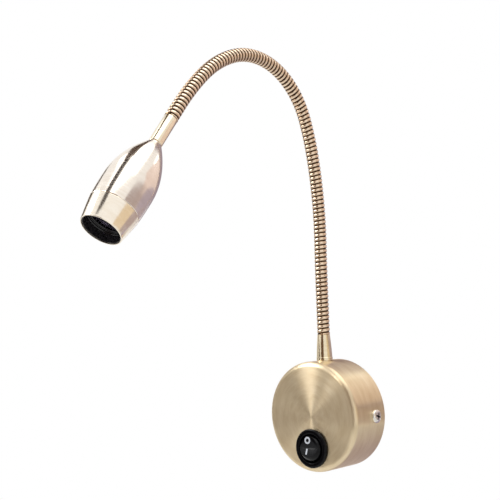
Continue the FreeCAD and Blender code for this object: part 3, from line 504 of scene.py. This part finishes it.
carve(baseCover, drill("hole", cover["switchHole"], cover["drillFace"], switchAt, (0, 1, 0)))
smooth(baseCover, 22)
paint(baseCover, coverBrass)
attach(baseCover, "base")
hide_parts("base_cover")
print("base cover made")

# pan-head screw with a cross recess, made once and copied to the other side
coverScrew = {
    "head": 3.9, "height": 2.2, "shank": 2.0, "length": 6.0, "tip": (0.4, 0.5),
    "edge": 0.32, "shoulder": 0.4, "domeWide": 0.9, "domeTall": 0.8, "domeStep": 12,  # the head's round
    "recessWidth": 0.95, "recessDepth": 1.5, "recessSpan": 4.2, "recessTurns": (20, 110),
    "darkFrom": 0.6, "darkTo": 1.98, "darkReach": 2.3,  # where the faces of the cross lie, which get the painted shade
}
shank, tall = coverScrew["shank"], coverScrew["height"]
domed = [(0, -tall)]
for degrees in range(coverScrew["domeStep"], 90, coverScrew["domeStep"]):
    angle = math.radians(degrees)
    across = coverScrew["head"] * math.sin(angle) ** coverScrew["domeWide"]
    share = coverScrew["shoulder"] + (1 - coverScrew["shoulder"]) * math.cos(angle) ** coverScrew["domeTall"]
    domed.append((across, -tall * share))
tip, screwEnd = coverScrew["tip"], coverScrew["length"]
profile = [(0, screwEnd), (shank - tip[0], screwEnd), (shank, screwEnd - tip[1]), (shank, 0)]
profile += [(coverScrew["head"], 0), (coverScrew["head"], -tall * coverScrew["edge"])]
rightScrew = turnedPiece("coverScrew", profile + domed[::-1], steps=48)
cross = (coverScrew["recessSpan"], coverScrew["recessWidth"], 2 * coverScrew["recessDepth"])
for degrees in coverScrew["recessTurns"]:
    tool = block("recess", cross, (0, 0, -tall))
    settle(tool, Matrix.Rotation(math.radians(degrees), 4, "Z"))
    carve(rightScrew, tool)
leftScrew = rightScrew.copy()
leftScrew.data = rightScrew.data.copy()
bpy.context.scene.collection.objects.link(leftScrew)
for piece, side in ((leftScrew, -1), (rightScrew, 1)):
    seat = Matrix.Translation((side * (outer + hair) * mm, -cover["screwDepth"] * mm, 0))
    settle(piece, seat @ Matrix.Rotation(-side * math.pi / 2, 4, "Y"))
pick(leftScrew, rightScrew)
bpy.ops.object.join()
coverScrews = bpy.context.object
coverScrews.name = "coverScrews"
smooth(coverScrews, 30)
paint(coverScrews, nickel)
# painted shade: the faces inside each cross recess take the dark finish
coverScrews.data.materials.append(recessPaintedShade)
for face in coverScrews.data.polygons:
    height = abs(face.center.x) / mm - outer
    fromAxis = math.hypot(face.center.y / mm + cover["screwDepth"], face.center.z / mm)
    if coverScrew["darkFrom"] < height < coverScrew["darkTo"] and fromAxis < coverScrew["darkReach"]:
        face.material_index = 1
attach(coverScrews, "base")
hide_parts("cover_screws")

# ferrule: foot, then a slow taper up to the winding
ferrule = {
    "bore": 2.2, "socket": 3.0, "socketDepth": 7.6, "stub": 4.0, "stubEnd": 25.3, "foot": 4.95,
    "footHeight": 2.0, "footEase": 0.15, "footStep": 0.2, "hollow": -0.12, "top": 3.8, "topEase": (0.25, 0.3),
}
foot, ease, ferruleTop = ferrule["foot"], ferrule["footEase"], neck["startHeight"]
taperStart, taperEnd = outer + ferrule["footHeight"], ferruleTop - ferrule["topEase"][1]
bore, stub, stubEnd = ferrule["bore"], ferrule["stub"], ferrule["stubEnd"]
socketFloor = ferruleTop - ferrule["socketDepth"]
profile = [(bore, stubEnd), (stub, stubEnd), (stub, outer)]
profile += [(foot - ease, outer), (foot, outer + ease), (foot, taperStart - ferrule["footStep"])]
profile += bow((foot - ease, taperStart), (ferrule["top"], taperEnd), ferrule["hollow"], 10)
profile += [(ferrule["top"] - ferrule["topEase"][0], ferruleTop), (ferrule["socket"], ferruleTop)]
profile += [(ferrule["socket"], socketFloor), (bore, socketFloor), (bore, stubEnd)]
lowerFerrule = turnedPiece("lowerFerrule", profile, steps=64)
settle(lowerFerrule, ferrulePlace)
smooth(lowerFerrule, 25)
paint(lowerFerrule, ferruleBrass)
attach(lowerFerrule, "base")
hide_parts("lower_ferrule")
print("screws and ferrule made")

# rocker switch: bezel and body in one moulding, with two slots for its terminals
switch = {
    "bezel": 11.5, "thick": 1.8, "round": 0.9, "cavity": 8.55, "lipRound": 0.35, "body": 9.98,
    "bodyEase": 0.4, "depth": 12.5, "floor": 1.5, "slot": (4.84, 8, 0.84), "slotUp": (0, 5.0),
}
bezel, thick, deep = switch["bezel"], switch["thick"], switch["depth"]
cavity, cavityFloor, body = switch["cavity"], deep - switch["floor"], switch["body"]
lip, bodyEase = switch["lipRound"], switch["bodyEase"]
profile = [(cavity, cavityFloor)] + arcPoints((cavity + lip, -thick + lip), lip, 180, 270, 4)
profile += arcPoints((bezel - switch["round"], -thick + switch["round"]), switch["round"], -90, 0)
profile += [(bezel, -hair), (body, -hair), (body, deep - bodyEase), (body - bodyEase, deep)]
profile += [(0, deep), (0, cavityFloor), (cavity, cavityFloor)]
switchHousing = turnedPiece("switchHousing", profile, steps=96)
switchPlace = Matrix.Translation((0, front * mm, -cover["switchDrop"] * mm)) @ basePlace
settle(switchHousing, switchPlace)
for up in switch["slotUp"]:
    carve(switchHousing, block("slot", switch["slot"], (0, front + deep, -cover["switchDrop"] + up)))
smooth(switchHousing, 28)
paint(switchHousing, switchBlack)
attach(switchHousing, "base")
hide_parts("switch_housing")

# rocker: a ball cut to two slopes that meet in a valley, with pins at its sides and a well for the plunger
rocker = {
    "radius": 8.2, "rise": 4.9, "tail": 4.3, "slope": 7.0, "round": 0.6, "pivot": 1.6, "tilt": 12.0,
    "pin": 2.4, "pinSpan": 18.9, "well": 2.4, "wellLength": 20, "wellMiddle": 9.4, "clearOf": 12.0,
}
pickNothing()
bpy.ops.mesh.primitive_uv_sphere_add(
    segments=96, ring_count=64, radius=rocker["radius"] * mm, rotation=(0, math.pi / 2, 0))
switchRocker = bpy.context.object
switchRocker.name = "switchRocker"
settle(switchRocker)
far, rise = rocker["clearOf"], rocker["rise"]  # the cutting tool reaches clear of the ball
fall = math.tan(math.radians(rocker["slope"]))
cutter = [(-far, far), (-rise - fall * far, far), (-rise, 0), (-rise - fall * far, -far), (-far, -far)]
carve(switchRocker, prism("valley", cutter, far))
bpy.ops.object.mode_set(mode="EDIT")
bpy.ops.mesh.select_all(action="SELECT")
bpy.ops.mesh.bisect(plane_co=(0, rocker["tail"] * mm, 0), plane_no=(0, 1, 0), use_fill=True, clear_outer=True)
bpy.ops.object.mode_set(mode="OBJECT")
rounded = {"width": rocker["round"] * mm, "segments": 4, "limit_method": "ANGLE"}
useModifier(switchRocker, "BEVEL", angle_limit=math.radians(32), **rounded)
carve(switchRocker, drill("pins", rocker["pin"], rocker["pinSpan"], (0, 0, 0), (1, 0, 0)), "UNION")
wellAt = (0, rocker["wellMiddle"], 0)
carve(switchRocker, drill("well", rocker["well"], rocker["wellLength"], wellAt, (0, 1, 0)))
rockerPivot = Matrix.Translation((0, (front + rocker["pivot"]) * mm, -cover["switchDrop"] * mm))
rockerTurn = rockerPivot @ Matrix.Rotation(math.radians(-rocker["tilt"]), 4, "X")
settle(switchRocker, rockerTurn)
smooth(switchRocker, 28)
paint(switchRocker, switchBlack)
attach(switchRocker, "rocker")
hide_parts("switch_rocker")

# its two pad-printed marks: a ring above for off, a bar below for on
mark = {
    "offUp": 3.9, "onUp": -2.6, "ringOut": 2.1, "ringIn": 1.1, "bar": (1.1, 3.4), "barRound": 0.25,
    "thick": 0.03, "lift": 0.012, "side": -1.2,
}


def onRocker(up):
    y = -(rise + fall * abs(up)) - mark["lift"]
    slope = math.radians(rocker["slope"]) * (1 if up > 0 else -1)
    place = Matrix.Translation((mark["side"] * mm, y * mm, up * mm))
    return rockerTurn @ place @ Matrix.Rotation(slope, 4, "X") @ basePlace


ringIn, ringOut, ink = mark["ringIn"], mark["ringOut"], -mark["thick"]
profile = [(ringIn, 0), (ringOut, 0), (ringOut, ink), (ringIn, ink), (ringIn, 0)]
markOff = turnedPiece("markOff", profile, steps=48)
settle(markOff, onRocker(mark["offUp"]))
markOn = block("markOn", mark["bar"] + (mark["thick"],), (0, 0, 0))
useModifier(markOn, "BEVEL", width=mark["barRound"] * mm, segments=3, affect="EDGES", limit_method="NONE")
settle(markOn, onRocker(mark["onUp"]))
for piece in (markOff, markOn):
    paint(piece, markPrint)
    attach(piece, "rocker")
print("switch made")

# sleeve and head, built upright along their own axis, tail at the bottom
sleeve = {
    "radius": 3.75, "bore": 2.0, "socket": 3.0, "socketDepth": 7.6, "stub": 2.9, "stubEnd": 6.6,
    "topEase": (0.2, 0.25), "endRound": ((0, 0.4), (0.12, 0.12), (0.4, 0)),
}
wide, sleeveEnd = sleeve["radius"], -neck["sleeveLength"]
socketFloor = sleeveEnd + sleeve["socketDepth"]
profile = [(sleeve["bore"], sleeve["stubEnd"]), (sleeve["stub"], sleeve["stubEnd"]), (sleeve["stub"], -hair)]
profile += [(wide - sleeve["topEase"][0], -hair), (wide, -sleeve["topEase"][1])]
profile += [(wide - inset, sleeveEnd + up) for inset, up in sleeve["endRound"]]
profile += [(sleeve["socket"], sleeveEnd), (sleeve["socket"], socketFloor), (sleeve["bore"], socketFloor)]
profile += [(sleeve["bore"], sleeve["stubEnd"])]
upperSleeve = turnedPiece("upperSleeve", profile, steps=64)
settle(upperSleeve, headPlace)
smooth(upperSleeve, 25)
paint(upperSleeve, sleeveBrass)
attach(upperSleeve, "head")
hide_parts("upper_sleeve")

# head shell: a bullet from the tail up to the seam, outline as height and radius
head = {
    "outline": (
        (0, 3.5), (2, 4.75), (5, 6.5), (8, 8.1), (11, 9.52), (14, 10.75), (18, 12.08), (22, 13.05),
        (26, 13.68), (30, 13.9), (34, 13.88), (38, 13.78), (42, 13.6), (45, 13.4)),
    "steps": 4, "seam": 45.0, "seamEdge": ((13.42, 0.3), (13.28, 0.08), (13.1, hair)),
    "inside": ((25.0, 12.1), (22.3, 11.7), (14.3, 9.45), (9.0, 6.8), (8.0, 5.5)),  # from the seam to the tail
    "hole": 2.93, "length": 58.2, "mouth": 11.15,
}
shellLine = []
points = head["outline"]
for i in range(len(points) - 1):
    # a smooth curve through the outline's points
    before, a, b, after = points[max(i - 1, 0)], points[i], points[i + 1], points[min(i + 2, len(points) - 1)]
    slopeA = (b[1] - before[1]) / (b[0] - before[0])
    slopeB = (after[1] - a[1]) / (after[0] - a[0])
    span = b[0] - a[0]
    for k in range(head["steps"]):
        t = k / head["steps"]
        r = (2 * t**3 - 3 * t**2 + 1) * a[1] + (3 * t**2 - 2 * t**3) * b[1]
        r += span * ((t**3 - 2 * t**2 + t) * slopeA + (t**3 - t**2) * slopeB)
        shellLine.append((r, a[0] + span * t))
seam, tailBlock = head["seam"], head["inside"][-1][0]
shellLine += [(r, seam - down) for r, down in head["seamEdge"]]
profile = [(head["hole"], 0)] + shellLine + [(head["inside"][0][1], seam - hair)]
profile += [(r, up) for up, r in head["inside"]] + [(head["hole"], tailBlock), (head["hole"], 0)]
headShell = turnedPiece("headShell", profile, steps=128)
settle(headShell, headPlace)
smooth(headShell, 25)
paint(headShell, headBrass)
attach(headShell, "head")
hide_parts("head_shell")

# front ring: from the seam to the mouth, with the spigot that screws into the shell
ring = {
    "bore": 10.6, "seat": 9.8, "spigot": 12.0, "spigotLength": 5.0, "lensSeat": 49.0, "start": (13.38, 0.3),
    "bulge": -0.1, "lip": ((0, 0.35), (0.06, 0.14), (0.18, 0.02), (0.34, 0)), "mouthStep": 0.02,
}
mouth, length, spigotEnd = head["mouth"], head["length"], seam - ring["spigotLength"]
lipPoints = [(mouth - inset, length - down) for inset, down in ring["lip"]]
profile = [(ring["seat"], spigotEnd), (ring["spigot"], spigotEnd), (ring["spigot"], seam + hair)]
profile += [(r, seam + up) for r, up in head["seamEdge"][:0:-1]]
profile += bow((ring["start"][0], seam + ring["start"][1]), lipPoints[0], ring["bulge"], 12) + lipPoints[1:]
profile += [(ring["bore"], length - ring["mouthStep"]), (ring["bore"], ring["lensSeat"])]
profile += [(ring["seat"], ring["lensSeat"]), (ring["seat"], spigotEnd)]
frontRing = turnedPiece("frontRing", profile, steps=128)
settle(frontRing, headPlace)
smooth(frontRing, 25)
paint(frontRing, ringBrass)
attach(frontRing, "head")
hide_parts("front_ring")

# collimator lens: a cone with a flange, a low dome in front and a pocket for the light behind
lensSize = {
    "flange": 10.4, "seat": 49.02, "flangeThick": 1.6, "dome": 8.78, "domeHeight": 0.3, "domeStep": 10,
    "back": 37.4, "backRadius": 4.5, "coneTop": 9.5, "coneBulge": -0.9, "pocket": 2.5, "pocketDepth": 5.0,
    "pocketDome": ((0, 0.6), (1.25, 0.45), (2.1, 0.2), (2.5, 0)),
}
lensBack, lensSeat = lensSize["back"], lensSize["seat"]
lensFront = lensSeat + lensSize["flangeThick"]
pocketStart = (lensSize["pocket"], lensBack)
coneStart, coneEnd = (lensSize["backRadius"], lensBack), (lensSize["coneTop"], lensSeat)
profile = [pocketStart] + bow(coneStart, coneEnd, lensSize["coneBulge"], 12)
profile += [(lensSize["flange"], lensSeat), (lensSize["flange"], lensFront)]
for degrees in range(0, 91, lensSize["domeStep"]):
    across = lensSize["dome"] * math.cos(math.radians(degrees))
    profile.append((across, lensFront + lensSize["domeHeight"] * (1 - (across / lensSize["dome"]) ** 2)))
pocketTop = lensBack + lensSize["pocketDepth"]
profile += [(r, pocketTop + up) for r, up in lensSize["pocketDome"]] + [pocketStart]
lens = turnedPiece("lens", profile, steps=96)
settle(lens, headPlace)
smooth(lens, 30)
paint(lens, lensClear)
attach(lens, "head")
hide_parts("lens")

# glare ring: a lip that holds the lens, and a thin wall with a small ridge, each given as points
glare = {
    "outer": 10.58, "wall": 0.5, "lip": 1.2, "lipWide": 1.2, "mouthGap": 0.5, "ease": 0.1,
    "lipBack": ((0, 0.5), (0.1, 0.2), (0.4, 0)), "lipFront": ((0.3, 0), (0, -0.3)), "lipRoot": 0.15,
    "ridgeUp": 0.9, "ridge": ((0, 0.35), (0.2, 0.12), (0.25, 0), (0.2, -0.12), (0, -0.35)),
}
wallOut, wallIn, ease = glare["outer"], glare["outer"] - glare["wall"], glare["ease"]
lipIn = wallIn - glare["lipWide"]
glareStart, glareEnd = lensFront + hair, length - glare["mouthGap"]
lipTop = glareStart + glare["lip"]
ridgeAt = lipTop + glare["ridgeUp"]
profile = [(lipIn + out, glareStart + up) for out, up in glare["lipBack"]]
profile += [(wallOut, glareStart), (wallOut, glareEnd - ease), (wallOut - ease, glareEnd)]
profile += [(wallIn + ease, glareEnd), (wallIn, glareEnd - ease)]
profile += [(wallIn - out, ridgeAt + up) for out, up in glare["ridge"]]
profile += [(wallIn, lipTop + glare["lipRoot"]), (wallIn - glare["lipRoot"], lipTop)]
profile += [(lipIn + out, lipTop + up) for out, up in glare["lipFront"]]
profile += [profile[0]]
glareRing = turnedPiece("glareRing", profile, steps=128)
settle(glareRing, headPlace)
smooth(glareRing, 25)
paint(glareRing, glareBlack)
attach(glareRing, "head")
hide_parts("glare_ring")
print("head made")

# gooseneck: one turn of the winding, screwed up the height of each stretch and bent along the neck
winding = {
    "crest": 3.9, "groove": 3.35, "steps": 32, "lineSamples": 540,
    "blendShare": 0.45,  # how far around each joint the two points worked out below reach, as a share of the arc on each side
    # shares of the pitch, and of the rise from groove to crest
    "rib": ((0.0, 0.0), (0.1, 0.30), (0.2, 0.72), (0.34, 0.95), (0.5, 1.0), (0.66, 0.95), (0.8, 0.72),
            (0.9, 0.30), (1.0, 0.0)),
}


def neckPoint(s):
    for arc in neckArcs:
        if s <= arc[3] + 1e-9:
            return alongArc(*arc, s)[0]
        s -= arc[3]
    last = neckArcs[-1]
    return alongArc(*last, last[3] + s)[0]


neckTotal = sum(arc[3] for arc in neckArcs)
pickNothing()
lineData = bpy.data.curves.new("neckLine", "CURVE")
lineData.dimensions = "3D"
spline = lineData.splines.new("POLY")
samples = winding["lineSamples"]
spline.points.add(samples)
for i in range(samples + 1):
    point = neckPoint(neckTotal * i / samples)
    spline.points[i].co = (point.x * mm, point.y * mm, point.z * mm, 1)
neckLine = bpy.data.objects.new("neckLine", lineData)
bpy.context.scene.collection.objects.link(neckLine)


def windingPiece(name, firstRib, ribCount):
    pitch, crest, groove = neck["pitch"] * mm, winding["crest"] * mm, winding["groove"] * mm
    points = [(groove + (crest - groove) * height, 0, pitch * share) for share, height in winding["rib"]]
    piece = startPoint(name, points[0])
    drawOutline(points)
    bpy.ops.object.mode_set(mode="OBJECT")
    turns = {"iterations": ribCount, "steps": winding["steps"], "render_steps": winding["steps"]}
    useModifier(piece, "SCREW", angle=2 * math.pi, screw_offset=pitch, use_smooth_shade=True, **turns)
    bpy.ops.object.mode_set(mode="EDIT")
    bpy.ops.mesh.select_all(action="SELECT")
    bpy.ops.mesh.remove_doubles(threshold=0.001 * mm)  # closes the seam from one turn to the next
    bpy.ops.mesh.normals_make_consistent(inside=False)
    bpy.ops.object.mode_set(mode="OBJECT")
    height = piece.data.attributes.new("ribHeight", "FLOAT", "POINT")
    for vertex in piece.data.vertices:
        height.data[vertex.index].value = (math.hypot(vertex.co.x, vertex.co.y) - groove) / (crest - groove)
    for vertex in piece.data.vertices:
        # past the neck's two ends the winding is pressed flat
        z = vertex.co.z + firstRib * pitch
        vertex.co.z = min(max(z, hair * mm), (neckTotal - hair) * mm)
    useModifier(piece, "CURVE", object=neckLine, deform_axis="POS_Z")
    smooth(piece, 60)
    return piece


# each stretch runs from the middle of one arc to the middle of the next, across the place where the two arcs
# meet
ribsTotal = sum(neck["ribs"])
middles = [sum(neck["ribs"][:i]) + neck["ribs"][i] // 2 for i in range(10)]
starts = [-1] + middles[1:]  # the first has a spare turn below the neck's start, which is pressed flat
ends = middles[1:] + [ribsTotal]
for k in range(10):
    piece = windingPiece("gooseneck%02d" % (k + 1), starts[k], ends[k] - starts[k])
    paint(piece, windingMetal)
    jointAt = sum(neck["ribs"][:k + 1]) * neck["pitch"]
    start = neckPoint(jointAt - winding["blendShare"] * neckArcs[k][3]) * mm
    end = neckPoint(jointAt + winding["blendShare"] * neckArcs[k + 1][3]) * mm
    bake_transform(piece)
    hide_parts("gooseneck_%02d" % (k + 1))
    if k == 9:
        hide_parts("gooseneck_11")
bpy.data.objects.remove(neckLine, do_unlink=True)
print("gooseneck made")

# floor: pale paper with a soft mottle
floorSize = {"radius": 0.9, "place": (0, -0.09, -0.26), "grain": 16.667}
pickNothing()
bpy.ops.mesh.primitive_circle_add(
    vertices=96, radius=floorSize["radius"], fill_type="NGON", location=floorSize["place"])
floor = bpy.context.object
floor.name = "floor"
floorPaper = plainFinish(
    "palePaperSweep", "#f0f0ee", "#f6f6f4", 0.0, 0.8, floorSize["grain"], roughSpread=0.0)
paint(floor, floorPaper)

# room: white where it is seen or reflected, and less for the light that it gives
roomLight = 0.55
world = bpy.data.worlds.new("paleRoom")
bpy.context.scene.world = world
world.use_nodes = True
worldTree = world.node_tree
rays = addNode(worldTree, "LightPath").outputs
seen = rays["Is Camera Ray"]
for ray in ("Is Glossy Ray", "Is Transmission Ray"):
    seen = addNode(worldTree, "Math", {"operation": "MAXIMUM"}, {0: seen, 1: rays[ray]}).outputs["Value"]
strength = addNode(worldTree, "MapRange", inputs={"Value": seen, "To Min": roomLight, "To Max": 1.0})
room = worldTree.nodes["Background"]
room.inputs["Color"].default_value = colour("#ffffff")
worldTree.links.new(strength.outputs["Result"], room.inputs["Strength"])


def facing(place, target, roll=0.0):
    turn = (Vector(target) - Vector(place)).to_track_quat("-Z", "Y").to_matrix()
    return (turn @ Matrix.Rotation(math.radians(roll), 3, "Z")).to_euler()


def softbox(name, target, direction, distance, width, height, radiance):
    # radiance 1 reflects as white in a mirror
    data = bpy.data.lights.new(name, "AREA")
    data.shape = "RECTANGLE"
    data.size, data.size_y = width, height
    data.energy = radiance * math.pi * width * height
    lamp = bpy.data.objects.new(name, data)
    lamp.location = target + Vector(direction).normalized() * distance
    lamp.rotation_euler = facing(lamp.location, target)
    bpy.context.scene.collection.objects.link(lamp)


def card(name, target, direction, distance, width, height, code, roll=0.0):
    # a coloured card that only reflections see
    place = target + Vector(direction).normalized() * distance
    pickNothing()
    bpy.ops.mesh.primitive_plane_add(size=1, location=place, rotation=facing(place, target, roll))
    piece = bpy.context.object
    piece.name = name
    piece.scale = (width, height, 1)
    settle(piece)
    material, tree, shader = newMaterial(name + "Paper")
    shader.inputs["Base Color"].default_value = colour("#000000")
    shader.inputs["Specular IOR Level"].default_value = 0.0
    shader.inputs["Emission Color"].default_value = colour(code)
    shader.inputs["Emission Strength"].default_value = 1.0
    paint(piece, material)
    piece.visible_camera = False
    piece.visible_shadow = False
    piece.visible_diffuse = False
    piece.visible_transmission = False


# each row: name, what it faces, direction from there, distance, width and height in metres, then the
# radiance or the colour, and for a card its roll in degrees
base, headMiddle = Vector((0, -0.02, 0)), headPlace @ Vector((0, 0, 0.03))
softbox("topSoftbox", base, (0.1, -0.1, 1.0), 1.0, 1.1, 1.1, 1.25)
softbox("wedgeSoftbox", base, (-0.6, -0.58, 0.52), 0.9, 0.32, 0.4, 7.5)
softbox("frontSoftbox", base, (-0.19, -0.9, 0.4), 0.9, 0.16, 0.16, 6.0)
softbox("sideSoftbox", base, (0.27, 0.79, 0.53), 0.9, 0.26, 0.3, 3.0)
card("frontCard", base, (0.14, -0.97, 0.17), 0.92, 0.72, 0.84, "#684e3c")
card("mirrorCard", base, (-0.63, -0.765, -0.06), 0.8, 0.26, 0.34, "#54463e")
card("leftCard", base, (-0.95, -0.28, 0.03), 0.8, 0.3, 0.4, "#7a6a60")
card("lowCard", base, (-0.21, -0.82, -0.52), 0.42, 0.16, 0.14, "#7a6a5c")
card("backCard", base, (0.1, 0.72, -0.68), 0.22, 0.26, 0.24, "#b4a8b8")
card("backSideCard", base, (0.6, 0.79, -0.06), 0.25, 0.3, 0.09, "#b6a6a6")
card("backTopCard", base, (-0.4, 0.72, 0.57), 0.6, 0.5, 0.75, "#a0929c")
card("headBackCard", headMiddle, (0.256, 0.954, -0.156), 0.7, 0.98, 0.15, "#b4a8b4", -8)
card("headBackEndCard", headMiddle, (0.89, 0.42, 0.17), 0.69, 0.66, 0.15, "#b3a4a3", -36)
card("headLowCard", headMiddle, (0.87, 0.45, -0.13), 0.72, 0.7, 0.2, "#e8d5b8", -25)
card("headPeachCard", headMiddle, (0.35, 0.9, 0.22), 0.75, 1.0, 0.42, "#f2e0d8", -10)
card("headStripeCard", headMiddle, (-0.015, -0.465, 1.0), 0.55, 0.48, 0.15, "#2a1c12", -67)
card("headTailCard", headMiddle, (-0.415, 0.245, 1.0), 0.55, 0.4, 0.17, "#4a3424", -110)
card("headEdgeCard", headMiddle, (-0.93, 0.12, 0.34), 0.6, 0.2, 0.25, "#3a2c22")

# camera, fitted to the circles of the base
camera = {
    "place": (0.33921, -0.44972, 0.06222), "right": (0.73674, 0.67531, -0.03429),
    "up": (0.07297, -0.02898, 0.99691), "forward": (-0.67223, 0.73696, 0.07063),
    "lens": 64.8, "sensor": 36.0, "near": 0.01, "far": 50,
}
cameraData = bpy.data.cameras.new("photoCamera")
cameraData.lens = camera["lens"]
cameraData.sensor_width = camera["sensor"]
cameraData.clip_start, cameraData.clip_end = camera["near"], camera["far"]
photoCamera = bpy.data.objects.new("photoCamera", cameraData)
bpy.context.scene.collection.objects.link(photoCamera)
columns = [Vector(camera["right"]), Vector(camera["up"]), -Vector(camera["forward"])]
photoCamera.matrix_world = Matrix.Translation(camera["place"]) @ Matrix(columns).transposed().to_4x4()
bpy.context.scene.camera = photoCamera
bpy.context.scene.view_settings.view_transform = "Standard"

print("scene made")
